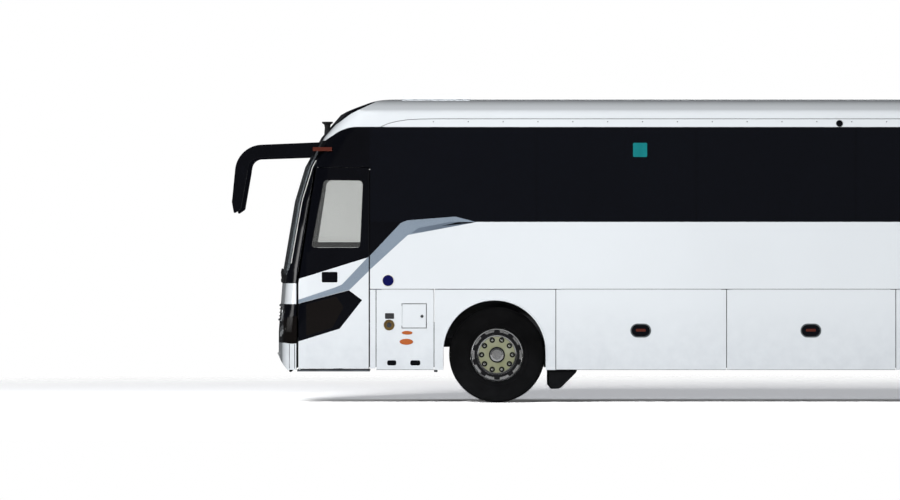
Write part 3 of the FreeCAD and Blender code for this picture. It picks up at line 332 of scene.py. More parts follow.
def rounded(width, height, radius, steps=5):
    """Corners of a rounded rectangle about the origin."""
    corners = []
    for turn, (sx, sz) in enumerate(((1, 1), (-1, 1), (-1, -1), (1, -1))):
        cx, cz = sx * (width / 2 - radius), sz * (height / 2 - radius)
        for step in range(steps + 1):
            angle = math.radians(90 * (turn + step / steps))
            corners.append((cx + radius * math.cos(angle), cz + radius * math.sin(angle)))
    return corners


# ---- the coach's skin, for setting pieces on it --------------------------------------------------

SKIN = []
CLEAR_X, CLEAR_Y, CLEAR_Z = 9, 3, 9     # places well outside the coach, from which its skin is sought


def touch(origin, direction):
    """The place and normal where a line first meets the skin."""
    origin = Vector(origin)
    best = None
    for item in SKIN:
        hit, place, normal, _ = item.ray_cast(origin, Vector(direction))
        if hit and (best is None or (place - origin).length < (best[0] - origin).length):
            best = (place, normal)
    if best is None:
        raise RuntimeError(f"no skin at {tuple(origin)} along {tuple(direction)}")
    return best


def on_side(setback, height, side=LEFT, lift=0.0):
    """The point of the side skin at a setback and height, lifted off it."""
    return touch((back(setback), side * CLEAR_Y, height), (0, -side, 0))[0] + Vector((0, side * lift, 0))


def on_end(across, height, forward=1, lift=0.0):
    """The point of the nose or tail at a place across the coach, lifted off it."""
    return touch((forward * CLEAR_X, across, height), (-forward, 0, 0))[0] + Vector((forward * lift, 0, 0))


def back(setback):
    """X of a setback."""
    return NOSE_X - setback


# ---- materials -----------------------------------------------------------------------------------

def fill(node, values):
    """Set a node's inputs."""
    for key, value in values.items():
        node.inputs[key].default_value = value


def add(tree, kind, values=(), **settings):
    """A new shader node with its settings and input values."""
    node = tree.nodes.new("ShaderNode" + kind)
    for key, value in settings.items():
        setattr(node, key, value)
    fill(node, dict(values))
    return node


def wire(tree, *rows):
    """Link sockets: each row is a node, its output, another node and its input."""
    for source, output, target, entry in rows:
        tree.links.new(source.outputs[output], target.inputs[entry])


def new_material(name, values):
    """A node material and its shader, with the shader's input values."""
    material = bpy.data.materials.new(name)
    material.use_nodes = True
    shader = material.node_tree.nodes["Principled BSDF"]
    fill(shader, values)
    return material, material.node_tree, shader


def new_group(name, inputs, outputs):
    """A shader group with number sockets: inputs by name and default, outputs by name."""
    group = bpy.data.node_groups.new(name, "ShaderNodeTree")
    for label, default in inputs.items():
        group.interface.new_socket(label, in_out="INPUT", socket_type="NodeSocketFloat").default_value = default
    for label in outputs:
        group.interface.new_socket(label, in_out="OUTPUT", socket_type="NodeSocketFloat")
    return group, group.nodes.new("NodeGroupInput"), group.nodes.new("NodeGroupOutput")


def variation_group():
    """Shader group: broad and fine noise."""
    if "surface_variation" in bpy.data.node_groups:
        return bpy.data.node_groups["surface_variation"]
    group, given, put = new_group("surface_variation", {"Broad scale": 1.0, "Fine scale": 40.0}, ("Broad", "Fine"))
    place = add(group, "TexCoord")
    for word, detail in (("Broad", 3.0), ("Fine", 4.0)):
        noise = add(group, "TexNoise", {"Detail": detail})
        wire(group, (place, "Object", noise, "Vector"), (given, word + " scale", noise, "Scale"),
             (noise, "Fac", put, word))
    return group


def low_film_group():
    """Shader group: a mask that grows towards the road, broken up by noise, for spray and dust."""
    if "road_film" in bpy.data.node_groups:
        return bpy.data.node_groups["road_film"]
    group, given, put = new_group("road_film", {"Top": 0.6, "Amount": 0.3}, ("Mask",))
    place, split = add(group, "TexCoord"), add(group, "SeparateXYZ")
    fall = add(group, "MapRange", {"From Min": 0.1, "To Min": 1.0, "To Max": 0.0})
    noise = add(group, "TexNoise", {"Scale": 9.0, "Detail": 5.0})
    broken, thinned = (add(group, "Math", operation="MULTIPLY") for _ in range(2))
    wire(group, (place, "Object", split, "Vector"), (split, "Z", fall, "Value"), (given, "Top", fall, "From Max"),
         (place, "Object", noise, "Vector"), (fall, "Result", broken, 0), (noise, "Fac", broken, 1),
         (broken, "Value", thinned, 0), (given, "Amount", thinned, 1), (thinned, "Value", put, "Mask"))
    return group


def varied(tree, broad, fine):
    """The variation group at two scales."""
    return add(tree, "Group", {"Broad scale": broad, "Fine scale": fine}, node_tree=variation_group())


def ramped(tree, source, output, shader, first, second, low=0.0, high=1.0):
    """Base colour from a ramp between two colours, driven by a value."""
    ramp = add(tree, "ValToRGB")
    for stop, position, tint in zip(ramp.color_ramp.elements, (low, high), (first, second)):
        stop.position = position
        stop.color = (*tint, 1)
    wire(tree, (source, output, ramp, "Fac"), (ramp, "Color", shader, "Base Color"))
    return ramp


def glossed(tree, source, output, shader, low, high):
    """Roughness between two values, driven by a value."""
    spread = add(tree, "MapRange", {"To Min": low, "To Max": high})
    wire(tree, (source, output, spread, "Value"), (spread, "Result", shader, "Roughness"))


def embossed(tree, source, output, shader, strength, depth=0.001):
    """Fine relief driven by a value."""
    relief = add(tree, "Bump", {"Strength": strength, "Distance": depth})
    wire(tree, (source, output, relief, "Height"), (relief, "Normal", shader, "Normal"))


def scaled(tint, share):
    """A colour made darker or lighter."""
    return tuple(value * share for value in tint)


FILM_COLOUR = (0.30, 0.33, 0.38, 1)


def finish(name, first, second, roughness, broad=1.0, fine=40.0, metallic=0.0, bump=0.05, depth=0.001,
           coat=0.0, span=0.1, film=0.0, film_top=0.6, shine=0.5):
    """A rigid finish: its colour drifts, its gloss and surface vary finely, and road film may lie low down."""
    material, tree, shader = new_material(name, {"Metallic": metallic, "Specular IOR Level": shine,
                                                 "Coat Weight": coat, "Coat Roughness": 0.05})
    variation = varied(tree, broad, fine)
    ramp = ramped(tree, variation, "Broad", shader, first, second, 0.3, 0.7)
    if film:
        film_mask = add(tree, "Group", {"Top": film_top, "Amount": film}, node_tree=low_film_group())
        mix = add(tree, "Mix", {"B": FILM_COLOUR}, data_type="RGBA")
        wire(tree, (film_mask, "Mask", mix, "Factor"), (ramp, "Color", mix, "A"), (mix, "Result", shader, "Base Color"))
    glossed(tree, variation, "Fine", shader, max(0.02, roughness - span / 2), roughness + span / 2)
    embossed(tree, variation, "Fine", shader, bump, depth)
    return material


def pane(name, tint, roughness=0.04, transmission=0.3):
    """Tinted glass: its tint drifts a little and its gloss has faint smears."""
    material, tree, shader = new_material(name, {"Transmission Weight": transmission, "Specular IOR Level": 0.3,
                                                 "IOR": 1.45})
    variation = varied(tree, 0.6, 5.0)
    ramped(tree, variation, "Broad", shader, tint, [min(1.0, value * 1.35 + 0.001) for value in tint])
    glossed(tree, variation, "Fine", shader, roughness * 0.5, roughness * 1.5)
    return material


def lens(name, tint):
    """A lamp lens: coloured, glossy, with fine upright ribs."""
    material, tree, shader = new_material(name, {"Specular IOR Level": 0.25, "Coat Weight": 0.1})
    place, wave = add(tree, "TexCoord"), add(tree, "TexWave", {"Scale": 60.0, "Distortion": 0.4})
    wire(tree, (place, "Object", wave, "Vector"))
    ramped(tree, wave, "Fac", shader, scaled(tint, 0.7), tint)
    glossed(tree, wave, "Fac", shader, 0.12, 0.25)
    embossed(tree, wave, "Fac", shader, 0.4)
    return material


def cloth(name, tint):
    """Woven seat cloth with a fine check, sheen and broad fading."""
    material, tree, shader = new_material(name, {"Sheen Weight": 0.3, "Roughness": 0.85})
    place, variation = add(tree, "TexCoord"), varied(tree, 5.0, 400.0)
    weave, blend = add(tree, "Math", operation="MULTIPLY"), add(tree, "Math")
    for index, axis in enumerate("XZ"):
        wave = add(tree, "TexWave", {"Scale": 110.0}, bands_direction=axis)
        wire(tree, (place, "Object", wave, "Vector"), (wave, "Fac", weave, index))
    wire(tree, (weave, "Value", blend, 0), (variation, "Broad", blend, 1))
    ramped(tree, blend, "Value", shader, scaled(tint, 0.7), [min(1, value * 1.8) for value in tint], 0.35)
    embossed(tree, weave, "Value", shader, 0.5)
    return material


FINISHES = {}


def make_finishes():
    """Every finish of the coach, made once."""
    body, black = colour("body"), colour("black")
    stripe, shade = colour("stripe"), colour("stripe_shade")
    sign, label = colour("sign"), colour("label")
    rows = {
        # first and second colour, roughness, and what differs from the usual
        # The film darkens the body paint towards its foot, up to 1.1 m.
        "body_paint": (body, scaled(body, 0.96), 0.24,
                       dict(broad=0.5, fine=60, bump=0.02, depth=0.0005, coat=0.5, span=0.06, film=0.50, film_top=1.1)),
        "black_gloss": (black, scaled(black, 1.6), 0.14,
                        dict(broad=1.2, fine=30, bump=0.01, depth=0.0004, span=0.05, shine=0.22)),
        "stripe_paint": (stripe, scaled(stripe, 1.18), 0.28,
                         dict(broad=1.6, fine=200, metallic=0.1, bump=0.03, coat=0.3)),
        # Painted shade: a darker copy of the stripe paint stands for the shade on its lower fold.
        "stripe_fold": (shade, scaled(shade, 1.25), 0.32, dict(broad=2.0, fine=200, metallic=0.1, bump=0.03)),
        "seam_rubber": ((0.006, 0.006, 0.007), (0.011, 0.011, 0.012), 0.7, dict(fine=120, bump=0.2, shine=0.2)),
        "inner_lining": ((0.30, 0.31, 0.33), (0.36, 0.37, 0.38), 0.75, dict(broad=3, fine=260, bump=0.3)),
        "chassis_paint": ((0.014, 0.014, 0.016), (0.032, 0.031, 0.030), 0.6,
                          dict(broad=3, fine=60, bump=0.2, film=0.5, film_top=1.2)),
        "floor_vinyl": ((0.09, 0.095, 0.10), (0.13, 0.13, 0.14), 0.55, dict(broad=4, fine=300, bump=0.3)),
        "tyre_rubber": ((0.0030, 0.0030, 0.0032), (0.0055, 0.0055, 0.0058), 0.68,
                        dict(broad=5, fine=120, bump=0.3, span=0.2, film=0.015, shine=0.08)),
        "wheel_chrome": ((0.90, 0.90, 0.90), (0.78, 0.77, 0.74), 0.14,
                         dict(broad=6, fine=60, metallic=1.0, bump=0.01, depth=0.0005, span=0.08)),
        "hub_paint": ((0.27, 0.28, 0.16), (0.36, 0.37, 0.26), 0.30,
                      dict(broad=7, fine=90, metallic=0.3, bump=0.03, coat=0.5)),
        "guard_rubber": ((0.004, 0.004, 0.0045), (0.007, 0.007, 0.0075), 0.8,
                         dict(broad=8, fine=150, bump=0.3, film=0.02, shine=0.08)),
        "engine_iron": ((0.10, 0.11, 0.11), (0.18, 0.18, 0.17), 0.6, dict(broad=6, fine=90, metallic=0.4, bump=0.3)),
        "cab_plastic": ((0.012, 0.012, 0.013), (0.018, 0.018, 0.019), 0.55,
                        dict(broad=4, fine=300, bump=0.25, shine=0.3)),
        "bright_steel": ((0.62, 0.63, 0.64), (0.52, 0.53, 0.54), 0.25, dict(broad=5, fine=90, metallic=0.95)),
        "handle_grey": ((0.085, 0.10, 0.105), (0.07, 0.082, 0.086), 0.35, dict(broad=20, fine=200, bump=0.05)),
        "brass": ((0.50, 0.33, 0.12), (0.38, 0.24, 0.09), 0.32, dict(broad=30, fine=200, metallic=0.9, bump=0.1)),
        "sign_blue": (sign, scaled(sign, 1.2), 0.4, dict(broad=12, fine=200, shine=0.12)),
        "label_green": (label, scaled(label, 1.3), 0.3, dict(broad=12, fine=200)),
        "plate_white": ((0.70, 0.70, 0.68), (0.64, 0.64, 0.62), 0.4, dict(broad=6, fine=150, film=0.3)),
        "mirror_glass": ((0.82, 0.84, 0.85), (0.78, 0.80, 0.82), 0.04, dict(metallic=1.0, bump=0.0, span=0.03)),
    }
    for name, (first, second, roughness, rest) in rows.items():
        FINISHES[name] = finish(name, first, second, roughness, **rest)
    FINISHES["tinted_glass"] = pane("tinted_glass", colour("glass"), transmission=0.25)
    FINISHES["screen_glass"] = pane("screen_glass", (0.22, 0.25, 0.27), 0.03, 0.85)
    FINISHES["clear_glass"] = pane("clear_glass", (0.62, 0.63, 0.62), 0.02, 0.95)
    FINISHES["lamp_glass"] = pane("lamp_glass", (0.0045, 0.0035, 0.0032), 0.05, 0.1)
    for name, tint in (("lamp_clear", (0.60, 0.62, 0.64)), ("lamp_amber", colour("amber")),
                       ("lamp_red", colour("red")), ("lamp_smoked", (0.10, 0.022, 0.014))):
        FINISHES[name] = lens(name, tint)
    FINISHES["seat_fabric"] = cloth("seat_fabric", colour("seats"))


def keep_inside(piece):
    """Flatten whatever stands out of the coach's own box."""
    low, high = cad_box
    for vertex in piece.data.vertices:
        vertex.co = [min(max(value, small), large) for value, small, large in zip(vertex.co, low, high)]


def hold(piece, name, body, slot, *finishes):
    """Name a finished piece, hang it on its body, and give it its finishes or else its slot's own."""
    keep_inside(piece)
    piece.name = name
    piece.data.name = name
    piece.data.materials.clear()
    for finish_name in finishes or (slot,):
        piece.data.materials.append(FINISHES[finish_name])
    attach(piece, body)
    return piece


# ---- panels --------------------------------------------------------------------------------------

# Corners of the painted areas, as (setback, height) in metres, alike on both sides.
BLACK_LINE = [(0.211, 1.343), (0.979, 1.581)]
STRIPE_BEHIND = [(1.000, 1.600), (1.018, 1.612), (1.345, 1.959), (1.415, 1.987), (1.943, 2.028), (2.166, 1.968),
                 (2.123, 1.959), (1.421, 1.827), (1.018, 1.458), (1.000, 1.443)]
# The lower fold of the stripe, painted darker as shade.
STRIPE_FOLD_SHADE = [(1.456, 1.846), (1.540, 1.905), (2.012, 1.995), (2.150, 1.966), (2.123, 1.959), (1.640, 1.870)]
STRIPE_DARK = [(1.790, 1.926), (2.040, 1.985), (2.150, 1.966), (2.123, 1.959)]
STRIPE_DOOR = [(0.200, 1.112), (0.628, 1.256), (0.703, 1.288), (0.974, 1.573), (1.012, 1.610), (1.012, 1.452),
               (0.995, 1.434), (0.787, 1.231), (0.200, 1.074)]
BLACK_BEHIND = [(0.990, 1.585), (1.018, 1.612), (1.345, 1.959), (1.400, 1.975), (1.400, 3.010), (0.990, 3.010)]
BLACK_DOOR = [(0.100, 1.309), (0.211, 1.343), (0.979, 1.581), (1.012, 1.591), (1.012, 2.600), (0.100, 2.600)]
LAMP_AREA = [(0.060, 1.035), (0.778, 1.226), (0.924, 1.118), (0.678, 0.806), (0.203, 0.659), (0.060, 0.632)]
LAMP_LENS = [(0.315, 0.730), (0.315, 1.070), (0.640, 1.158), (0.720, 1.040), (0.600, 0.818)]
VISOR = [(0.440, 2.830), (0.497, 2.897), (0.620, 3.020), (0.800, 3.150), (1.060, 3.276), (1.060, 3.400), (0.100, 3.400),
         (0.100, 2.600), (0.440, 2.600)]
FLAP_FOOT, FLAP_HEAD = 0.3615, 1.2355
FLAP_LIPS = [[(0, height), (12, height)] for height in (FLAP_FOOT, FLAP_HEAD)]
DOOR_LIP = [(0.9945, 0.3), (0.9945, 2.6)]
PANE_HEAD = GLASS_HEAD - 0.004
BELT_FOOT, BELT_HEAD = 0.651, 1.075
SCREEN_SILL = [(0, 1.262), (0.1, 1.342)]
SILL_RISE, SILL_TOP = 0.8, 1.30
CAB_REAR_X, SCREEN_REAR_X, PANE_Y = 4.6, 4.745, 1.1
CUT_FACE = 0.3      # a face turned outwards by less than this share is a cut edge
LEVEL_FACE = 0.95   # a face turned up or down by more than this share is a ledge
LEDGE_HEAD = 1.9
PAINTS = ("body_paint", "black_gloss", "stripe_paint", "stripe_fold", "seam_rubber", "inner_lining", "lamp_glass")
PAINT, BLACK, STRIPE, FOLD_SHADE, SEAM, LINING, LENS = range(7)


def within(spot, corners):
    """Whether a (setback, height) spot lies inside a closed outline."""
    inside = False
    for (ax, ay), (bx, by) in zip(corners, corners[1:] + corners[:1]):
        if (ay > spot[1]) != (by > spot[1]) and spot[0] < (bx - ax) * (spot[1] - ay) / (by - ay) + ax:
            inside = not inside
    return inside


def panel_copy(node):
    """A merged copy of a packed node's mesh, with flats made whole."""
    mesh = frame["nodes"][node].data.copy()
    piece = placed(node + "_panel", mesh)
    take(piece)
    if mesh.has_custom_normals:
        bpy.ops.mesh.customdata_custom_splitnormals_clear()
    edit(piece)
    bpy.ops.mesh.remove_doubles(threshold=MERGE)
    bpy.ops.mesh.select_all(action="SELECT")
    bpy.ops.mesh.dissolve_limited(angle_limit=math.radians(0.3))
    close()
    return piece


def scribe(piece, outline):
    """Cut a piece's faces along each side of an outline that is seen from the side."""
    for (ax, az), (bx, bz) in zip(outline, outline[1:] + outline[:1]):
        along = Vector((-(bx - ax), 0, bz - az)).normalized()
        normal = Vector((-along.z, 0, along.x))
        edit(piece)
        bpy.ops.mesh.bisect(plane_co=(back(ax), 0, az), plane_no=normal)
        close()


def painted(node, outlines, pick, body, slot="body_paint", finishes=PAINTS):
    """A panel with smooth curves whose faces take the paints that pick() gives for their place."""
    piece = panel_copy(node)
    for outline in outlines:
        scribe(piece, outline)
    smooth(piece, 32)
    hold(piece, node + "_painted", body, slot, *finishes)
    for face in piece.data.polygons:
        face.material_index = pick(face.center, face.normal)
    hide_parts(node)


def edge_or_lining(centre, normal):
    """Cut edges of a side panel are dark, and its inner face is lined."""
    outward = normal.y * (1 if centre.y > 0 else -1)
    if abs(normal.y) < CUT_FACE:
        return SEAM
    return (SEAM if centre.x > CAB_REAR_X else LINING) if outward < 0 else None


def wall_paint(centre, normal):
    """Paint of the walls behind the cab."""
    edge = edge_or_lining(centre, normal)
    spot = (NOSE_X - centre.x, centre.z)
    if edge == LINING:
        return LINING
    if within(spot, STRIPE_DARK):
        return BLACK
    if within(spot, STRIPE_FOLD_SHADE):
        return FOLD_SHADE
    if within(spot, STRIPE_BEHIND):
        return STRIPE
    if within(spot, BLACK_BEHIND) or GLASS_FOOT < centre.z < PANE_HEAD:
        return BLACK
    return PAINT if edge is None else edge


def door_paint(centre, normal):
    """Paint of the two cab doors."""
    edge = edge_or_lining(centre, normal)
    if edge is not None:
        return edge
    spot = (NOSE_X - centre.x, centre.z)
    if spot[0] > DOOR_LIP[0][0]:
        return SEAM
    if within(spot, LAMP_AREA):
        return LENS if within(spot, LAMP_LENS) else BLACK
    if within(spot, STRIPE_DOOR):
        return STRIPE
    return BLACK if within(spot, BLACK_DOOR) else PAINT


def plain_paint(centre, normal):
    """Paint of the flaps and luggage doors, with rubber lips along the top and the foot."""
    edge = edge_or_lining(centre, normal)
    if edge is None and not FLAP_FOOT < centre.z < FLAP_HEAD:
        return SEAM
    return PAINT if edge is None else edge


def front_paint(centre, normal):
    """The front panel: white over a gloss black lamp belt, with a black sill under the screen."""
    if abs(normal.z) > 0.9 or normal.x < -CUT_FACE:
        return SEAM
    if centre.z > min(SILL_TOP, SCREEN_SILL[0][1] + SILL_RISE * (NOSE_X - centre.x)):
        return BLACK
    return BLACK if BELT_FOOT < centre.z < BELT_HEAD else PAINT


def cap_paint(centre, normal):
    """Black visor over the screen, body colour above it."""
    return BLACK if within((NOSE_X - centre.x, centre.z), VISOR) else PAINT


def one_paint(centre, normal):
    """The first finish all over."""
    return 0


def end_paint(centre, normal):
    """Bumpers and tail: painted outside, dark at the cut edges and inside."""
    inward = normal.x * (1 if centre.x > 0 else -1) < -CUT_FACE
    return SEAM if abs(normal.z) > LEVEL_FACE and centre.z < LEDGE_HEAD or inward else PAINT


def glass_paint(centre, normal):
    """Side panes dark, the windscreen clearer, the stripe's hump painted on the first pane."""
    if centre.x > SCREEN_REAR_X:
        return 1
    return 2 if within((NOSE_X - centre.x, centre.z), STRIPE_BEHIND) and abs(centre.y) > PANE_Y else 0


def dress_panels():
    """All painted panels and the fixed glass."""
    heads = [(0, PANE_HEAD), (9, PANE_HEAD)]
    for _, word in SIDES:
        painted(f"side_wall_{word}", [BLACK_BEHIND[:3], heads, STRIPE_BEHIND, STRIPE_FOLD_SHADE, STRIPE_DARK], wall_paint,
                "coach")
        for end in ("front", "rear"):
            painted(f"luggage_door_{word}_{end}", FLAP_LIPS, plain_paint, f"luggage_{word}_{end}")
        painted(f"engine_door_{word}", FLAP_LIPS, plain_paint, f"engine_door_{word}")
    for door in ("driver_door", "passenger_door"):
        painted(door, [DOOR_LIP, LAMP_AREA, LAMP_LENS, STRIPE_DOOR, BLACK_LINE], door_paint, door)
    painted("service_flap", FLAP_LIPS, plain_paint, "service_flap")
    painted("fuel_flap", [], plain_paint, "fuel_flap")
    belt = [[(0, BELT_HEAD), (0.5, BELT_HEAD)], [(0, BELT_FOOT), (0.5, BELT_FOOT)], SCREEN_SILL]
    painted("front_panel", belt, front_paint, "coach")
    painted("bumpers", [], end_paint, "coach")
    painted("rear_panel", [], end_paint, "coach")
    painted("engine_hatch", [], end_paint, "engine_hatch")
    painted("roof_panel", [], one_paint, "coach")
    painted("roof_front_cap", [VISOR[:5]], cap_paint, "coach")
    painted("roof_hatch", [], one_paint, "roof_hatch", "cab_plastic")
    painted("windscreen_frame", [], one_paint, "coach", "black_gloss", ("black_gloss",))
    painted("body_glass", [STRIPE_BEHIND], glass_paint, "coach", "tinted_glass",
            ("tinted_glass", "screen_glass", "stripe_paint"))
    SKIN.extend(item for item in bpy.context.scene.objects if item.name.endswith("_painted"))
    SKIN.append(frame["nodes"]["lamps"])


def dress_nodes():
    """Every packed node that stays takes the finish of its slot, and the passengers' panes are clear."""
    rows = {row["node"]: row["material_slot"] for row in frame["record"]["subparts"]}
    rows["passenger_door_glass"] = "clear_glass"
    for node, finish_name in rows.items():
        mesh = frame["nodes"][node].data
        mesh.materials.clear()
        mesh.materials.append(FINISHES[finish_name])


# ---- wheels --------------------------------------------------------------------------------------

TYRE_WIDTH = 0.295
TREAD_RADIUS, CROWN_RADIUS = 0.5185, 0.5195
LUG_RADIUS, LUG_WIDTH = 0.505, 0.096
HAND_HOLE_RADIUS = 0.250
NUTS = 10
TREAD_PITCHES = 90

# Profiles as (radius, distance along the axle) in metres; the wheel's count outwards from its face.
SIDEWALL = [(0.292, 0.118), (0.300, 0.136), (0.330, 0.143), (0.336, 0.1465), (0.342, 0.1435), (0.400, 0.1475),
            (0.440, 0.1460), (0.446, 0.1440), (0.480, 0.138), (0.500, 0.128), (0.510, 0.118), (0.516, 0.108)]
RIM_EDGE = [(0.266, -0.006), (0.272, 0.004), (0.282, 0.009), (0.2895, 0.003), (0.2885, -0.016), (0.276, -0.024)]
HUB_RING = [(0.200, -0.002), (0.204, 0.012), (0.212, 0.015), (0.218, 0.008), (0.220, -0.002)]
HUB_CAP = [(0.0725, 0.030), (0.0725, 0.0505), (0.063, 0.0515), (0.060, 0.053), (0.052, 0.055), (0.034, 0.058),
           (0.012, 0.059)]
DISH = [(0.086, -0.002), (0.088, 0.004), (0.112, 0.007), (0.150, 0.004), (0.196, 0.005), (0.199, -0.002)]
# Dark rings of painted shade: in the gap round the hub cap, in the gap outside the dish and round each nut.
HUB_GAP_SHADE = [(0.0725, -0.002), (0.0735, 0.006), (0.084, 0.006), (0.087, -0.002)]
RIM_GAP_SHADE = [(0.220, -0.002), (0.221, 0.003), (0.246, 0.003), (0.248, -0.002)]
NUT_SEAT_SHADE = [(0.031, 0.002), (0.030, 0.008), (0.018, 0.009)]
NUT = [(0.0155, 0.008), (0.0150, 0.026), (0.0120, 0.034), (0.0060, 0.039), (0.0020, 0.040)]


def tyre_shape(middle):
    """One tyre: a turned carcass with bead, sidewall rings, round shoulders and cut tread."""
    groove = TREAD_RADIUS - size("tread_depth")
    half_profile = list(SIDEWALL)
    for start in (0.092, 0.052, 0.012):
        crown = (0.092 - start) * 0.03
        half_profile += [(TREAD_RADIUS + crown, start), (groove, start - 0.003), (groove, start - 0.009),
                         (CROWN_RADIUS + crown, start - 0.012)]
    profile = half_profile + [(radius, -along) for radius, along in reversed(half_profile)]
    piece = ring(middle, "+Y", profile, TREAD_PITCHES)
    edit(piece)
    bpy.ops.mesh.select_all(action="DESELECT")
    close()
    centre = Vector(middle)
    for face in piece.data.polygons:
        out = face.center - centre
        pitch = math.floor(math.atan2(out.z, out.x) / (2 * math.pi) * TREAD_PITCHES)
        face.select = math.hypot(out.x, out.z) > LUG_RADIUS and abs(out.y) > LUG_WIDTH and pitch % 2 == 0
    take(piece)
    bpy.ops.object.mode_set(mode="EDIT")
    bpy.ops.mesh.select_mode(type="FACE")
    bpy.ops.mesh.inset(thickness=0.003, depth=-0.006)
    close()
    return smooth(piece, 28, weighted=False)


def round_hub(piece, centre, first=0.0):
    """A piece repeated once for each nut round the hub."""
    copies = [turned_copy(piece, math.radians(360 / NUTS * index + first), "Y", centre) for index in range(NUTS)]
    bpy.data.objects.remove(piece)
    return copies


def wheel_face(centre, side, reach):
    """Face of a wheel, as groups by finish: bright rings, nuts and cap, the painted dish, and the dark hollows."""
    facing = "+Y" if side == LEFT else "-Y"

    def part(make, profile, sides, lift=0.0):
        middle = (centre[0], centre[1], centre[2] + lift)
        return make(middle, facing, [(radius, reach + along) for radius, along in profile], sides)

    bright = [part(ring, RIM_EDGE, 72), part(ring, HUB_RING, 72), part(lathe, HUB_CAP, 40)]
    dish_paint = [part(ring, DISH, 64)]
    # Painted shade: dark rings where the gaps and the nut seats lie in shade.
    dark = [part(ring, HUB_GAP_SHADE, 48), part(ring, RIM_GAP_SHADE, 72)]
    radius = size("nut_circle")
    dark += round_hub(part(lathe, NUT_SEAT_SHADE, 20, radius), centre, 18)
    bright += round_hub(part(lathe, NUT, 12, radius), centre, 18)
    return [smooth(joined(group), 40, weighted=False) for group in (bright, dish_paint, dark)]


def hand_hole_shade(centre, side, reach):
    """Dark pressed wells round the ten hand holes."""
    well = moved(sheet_of([rounded(0.060, 0.038, 0.016)], 0.008, 0.002),
                 (centre[0], centre[1] + side * reach, centre[2] + HAND_HOLE_RADIUS))
    return smooth(joined(round_hub(well, centre)), 40)


def dress_wheels():
    """Tyres, rims and wheel faces at the four corners."""
    for end, wheel in (("front", "wheel"), ("rear", "wheels")):
        for side, word in SIDES:
            body, tyre, rim = f"{end}_{wheel}_{word}", f"tyre_{end}_{word}", f"wheel_rim_{end}_{word}"
            low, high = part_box(tyre)
            x, z = (low[0] + high[0]) / 2, (low[2] + high[2]) / 2
            outer = (high[1] if side == LEFT else low[1]) - side * TYRE_WIDTH / 2
            middles, spot, reach = [outer], (x, outer, z), 0.125
            if end == "rear":
                middles.append((low[1] if side == LEFT else high[1]) + side * TYRE_WIDTH / 2)
                spot, reach = (x, (low[1] + high[1]) / 2, z), 0.010
            shapes = [tyre_shape((x, middle, z)) for middle in middles]
            rubber = hold(joined(shapes), tyre + "_dressed", body, "tyre_rubber")
            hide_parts(tyre)
            barrel = hold(smooth(panel_copy(rim), 32), rim + "_smooth", body, "wheel_chrome")
            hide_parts(rim)
            bright, dish_piece, dark = wheel_face(spot, side, reach)
            hold(bright, body + "_bright_rings", body, "wheel_chrome")
            hold(dish_piece, body + "_dish", body, "wheel_chrome", "hub_paint")
            # Painted shade: the dark rings take the seam finish.
            hold(dark, body + "_hollows", body, "wheel_chrome", "seam_rubber")
            # Painted shade: dark plates stand for the shade inside the hand holes.
            hold(hand_hole_shade(spot, side, reach), body + "_hand_holes", body, "wheel_chrome", "seam_rubber")


# ---- outside fittings ----------------------------------------------------------------------------

SILL = 0.362
ARCH_RADIUS, ARCH_MIDDLE, ARCH_STEPS = 0.566, 0.556, 32
SIDE_REACH, SIDE_LEAN = 1.2735, 0.043 / 3.15


def arch_lips():
    """Rolled lips round the four wheel arches, leaning with the walls."""
    for end, lead in (("front", 0.027), ("rear", 0.0)):
        low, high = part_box(f"tyre_{end}_left")
        x = (low[0] + high[0]) / 2 + lead
        points = [(x - ARCH_RADIUS, SILL)]
        for step in range(ARCH_STEPS + 1):
            angle = math.pi * (1 - step / ARCH_STEPS)
            points.append((x + ARCH_RADIUS * math.cos(angle), ARCH_MIDDLE + ARCH_RADIUS * math.sin(angle)))
        points.append((x + ARCH_RADIUS, SILL))
        for side, word in SIDES:
            line = [(px, side * (SIDE_REACH - SIDE_LEAN * (pz - 0.25)), pz) for px, pz in points]
            hold(tube(line, size("lip")), f"arch_lip_{end}_{word}", "coach", "body_paint")


def set_on_side(piece, setback, height, side, body, name, slot, *finishes):
    """Move a piece made about the origin on to the side skin, tilted with it; rims take the second finish."""
    place, normal = touch((back(setback), side * CLEAR_Y, height), (0, -side, 0))
    if side == LEFT:
        turned(piece, math.pi, "Z")
    moved(turned(piece, math.atan2(side * normal.z, side * normal.y), "X"), place)
    hold(piece, name, body, slot, *finishes)
    if len(finishes) > 1:
        for face in piece.data.polygons[:piece["rim_faces"]]:
            face.material_index = 1


def dish(width, height, corner, rim=0.010):
    """A recessed cup: a rim round a sunk floor, facing -Y, made about the origin."""
    rim_plate = sheet_of([rounded(width, height, corner),
                          rounded(width - 2 * rim, height - 2 * rim, max(0.002, corner - rim))], 0.008, 0.002)
    floor = sheet_of([rounded(width - rim, height - rim, max(0.002, corner - rim / 2))], 0.004, 0.001)
    rim_faces = len(rim_plate.data.polygons)
    piece = smooth(joined([rim_plate, moved(floor, (0, 0.0015, 0))]), 40)
    piece["rim_faces"] = rim_faces
    return piece


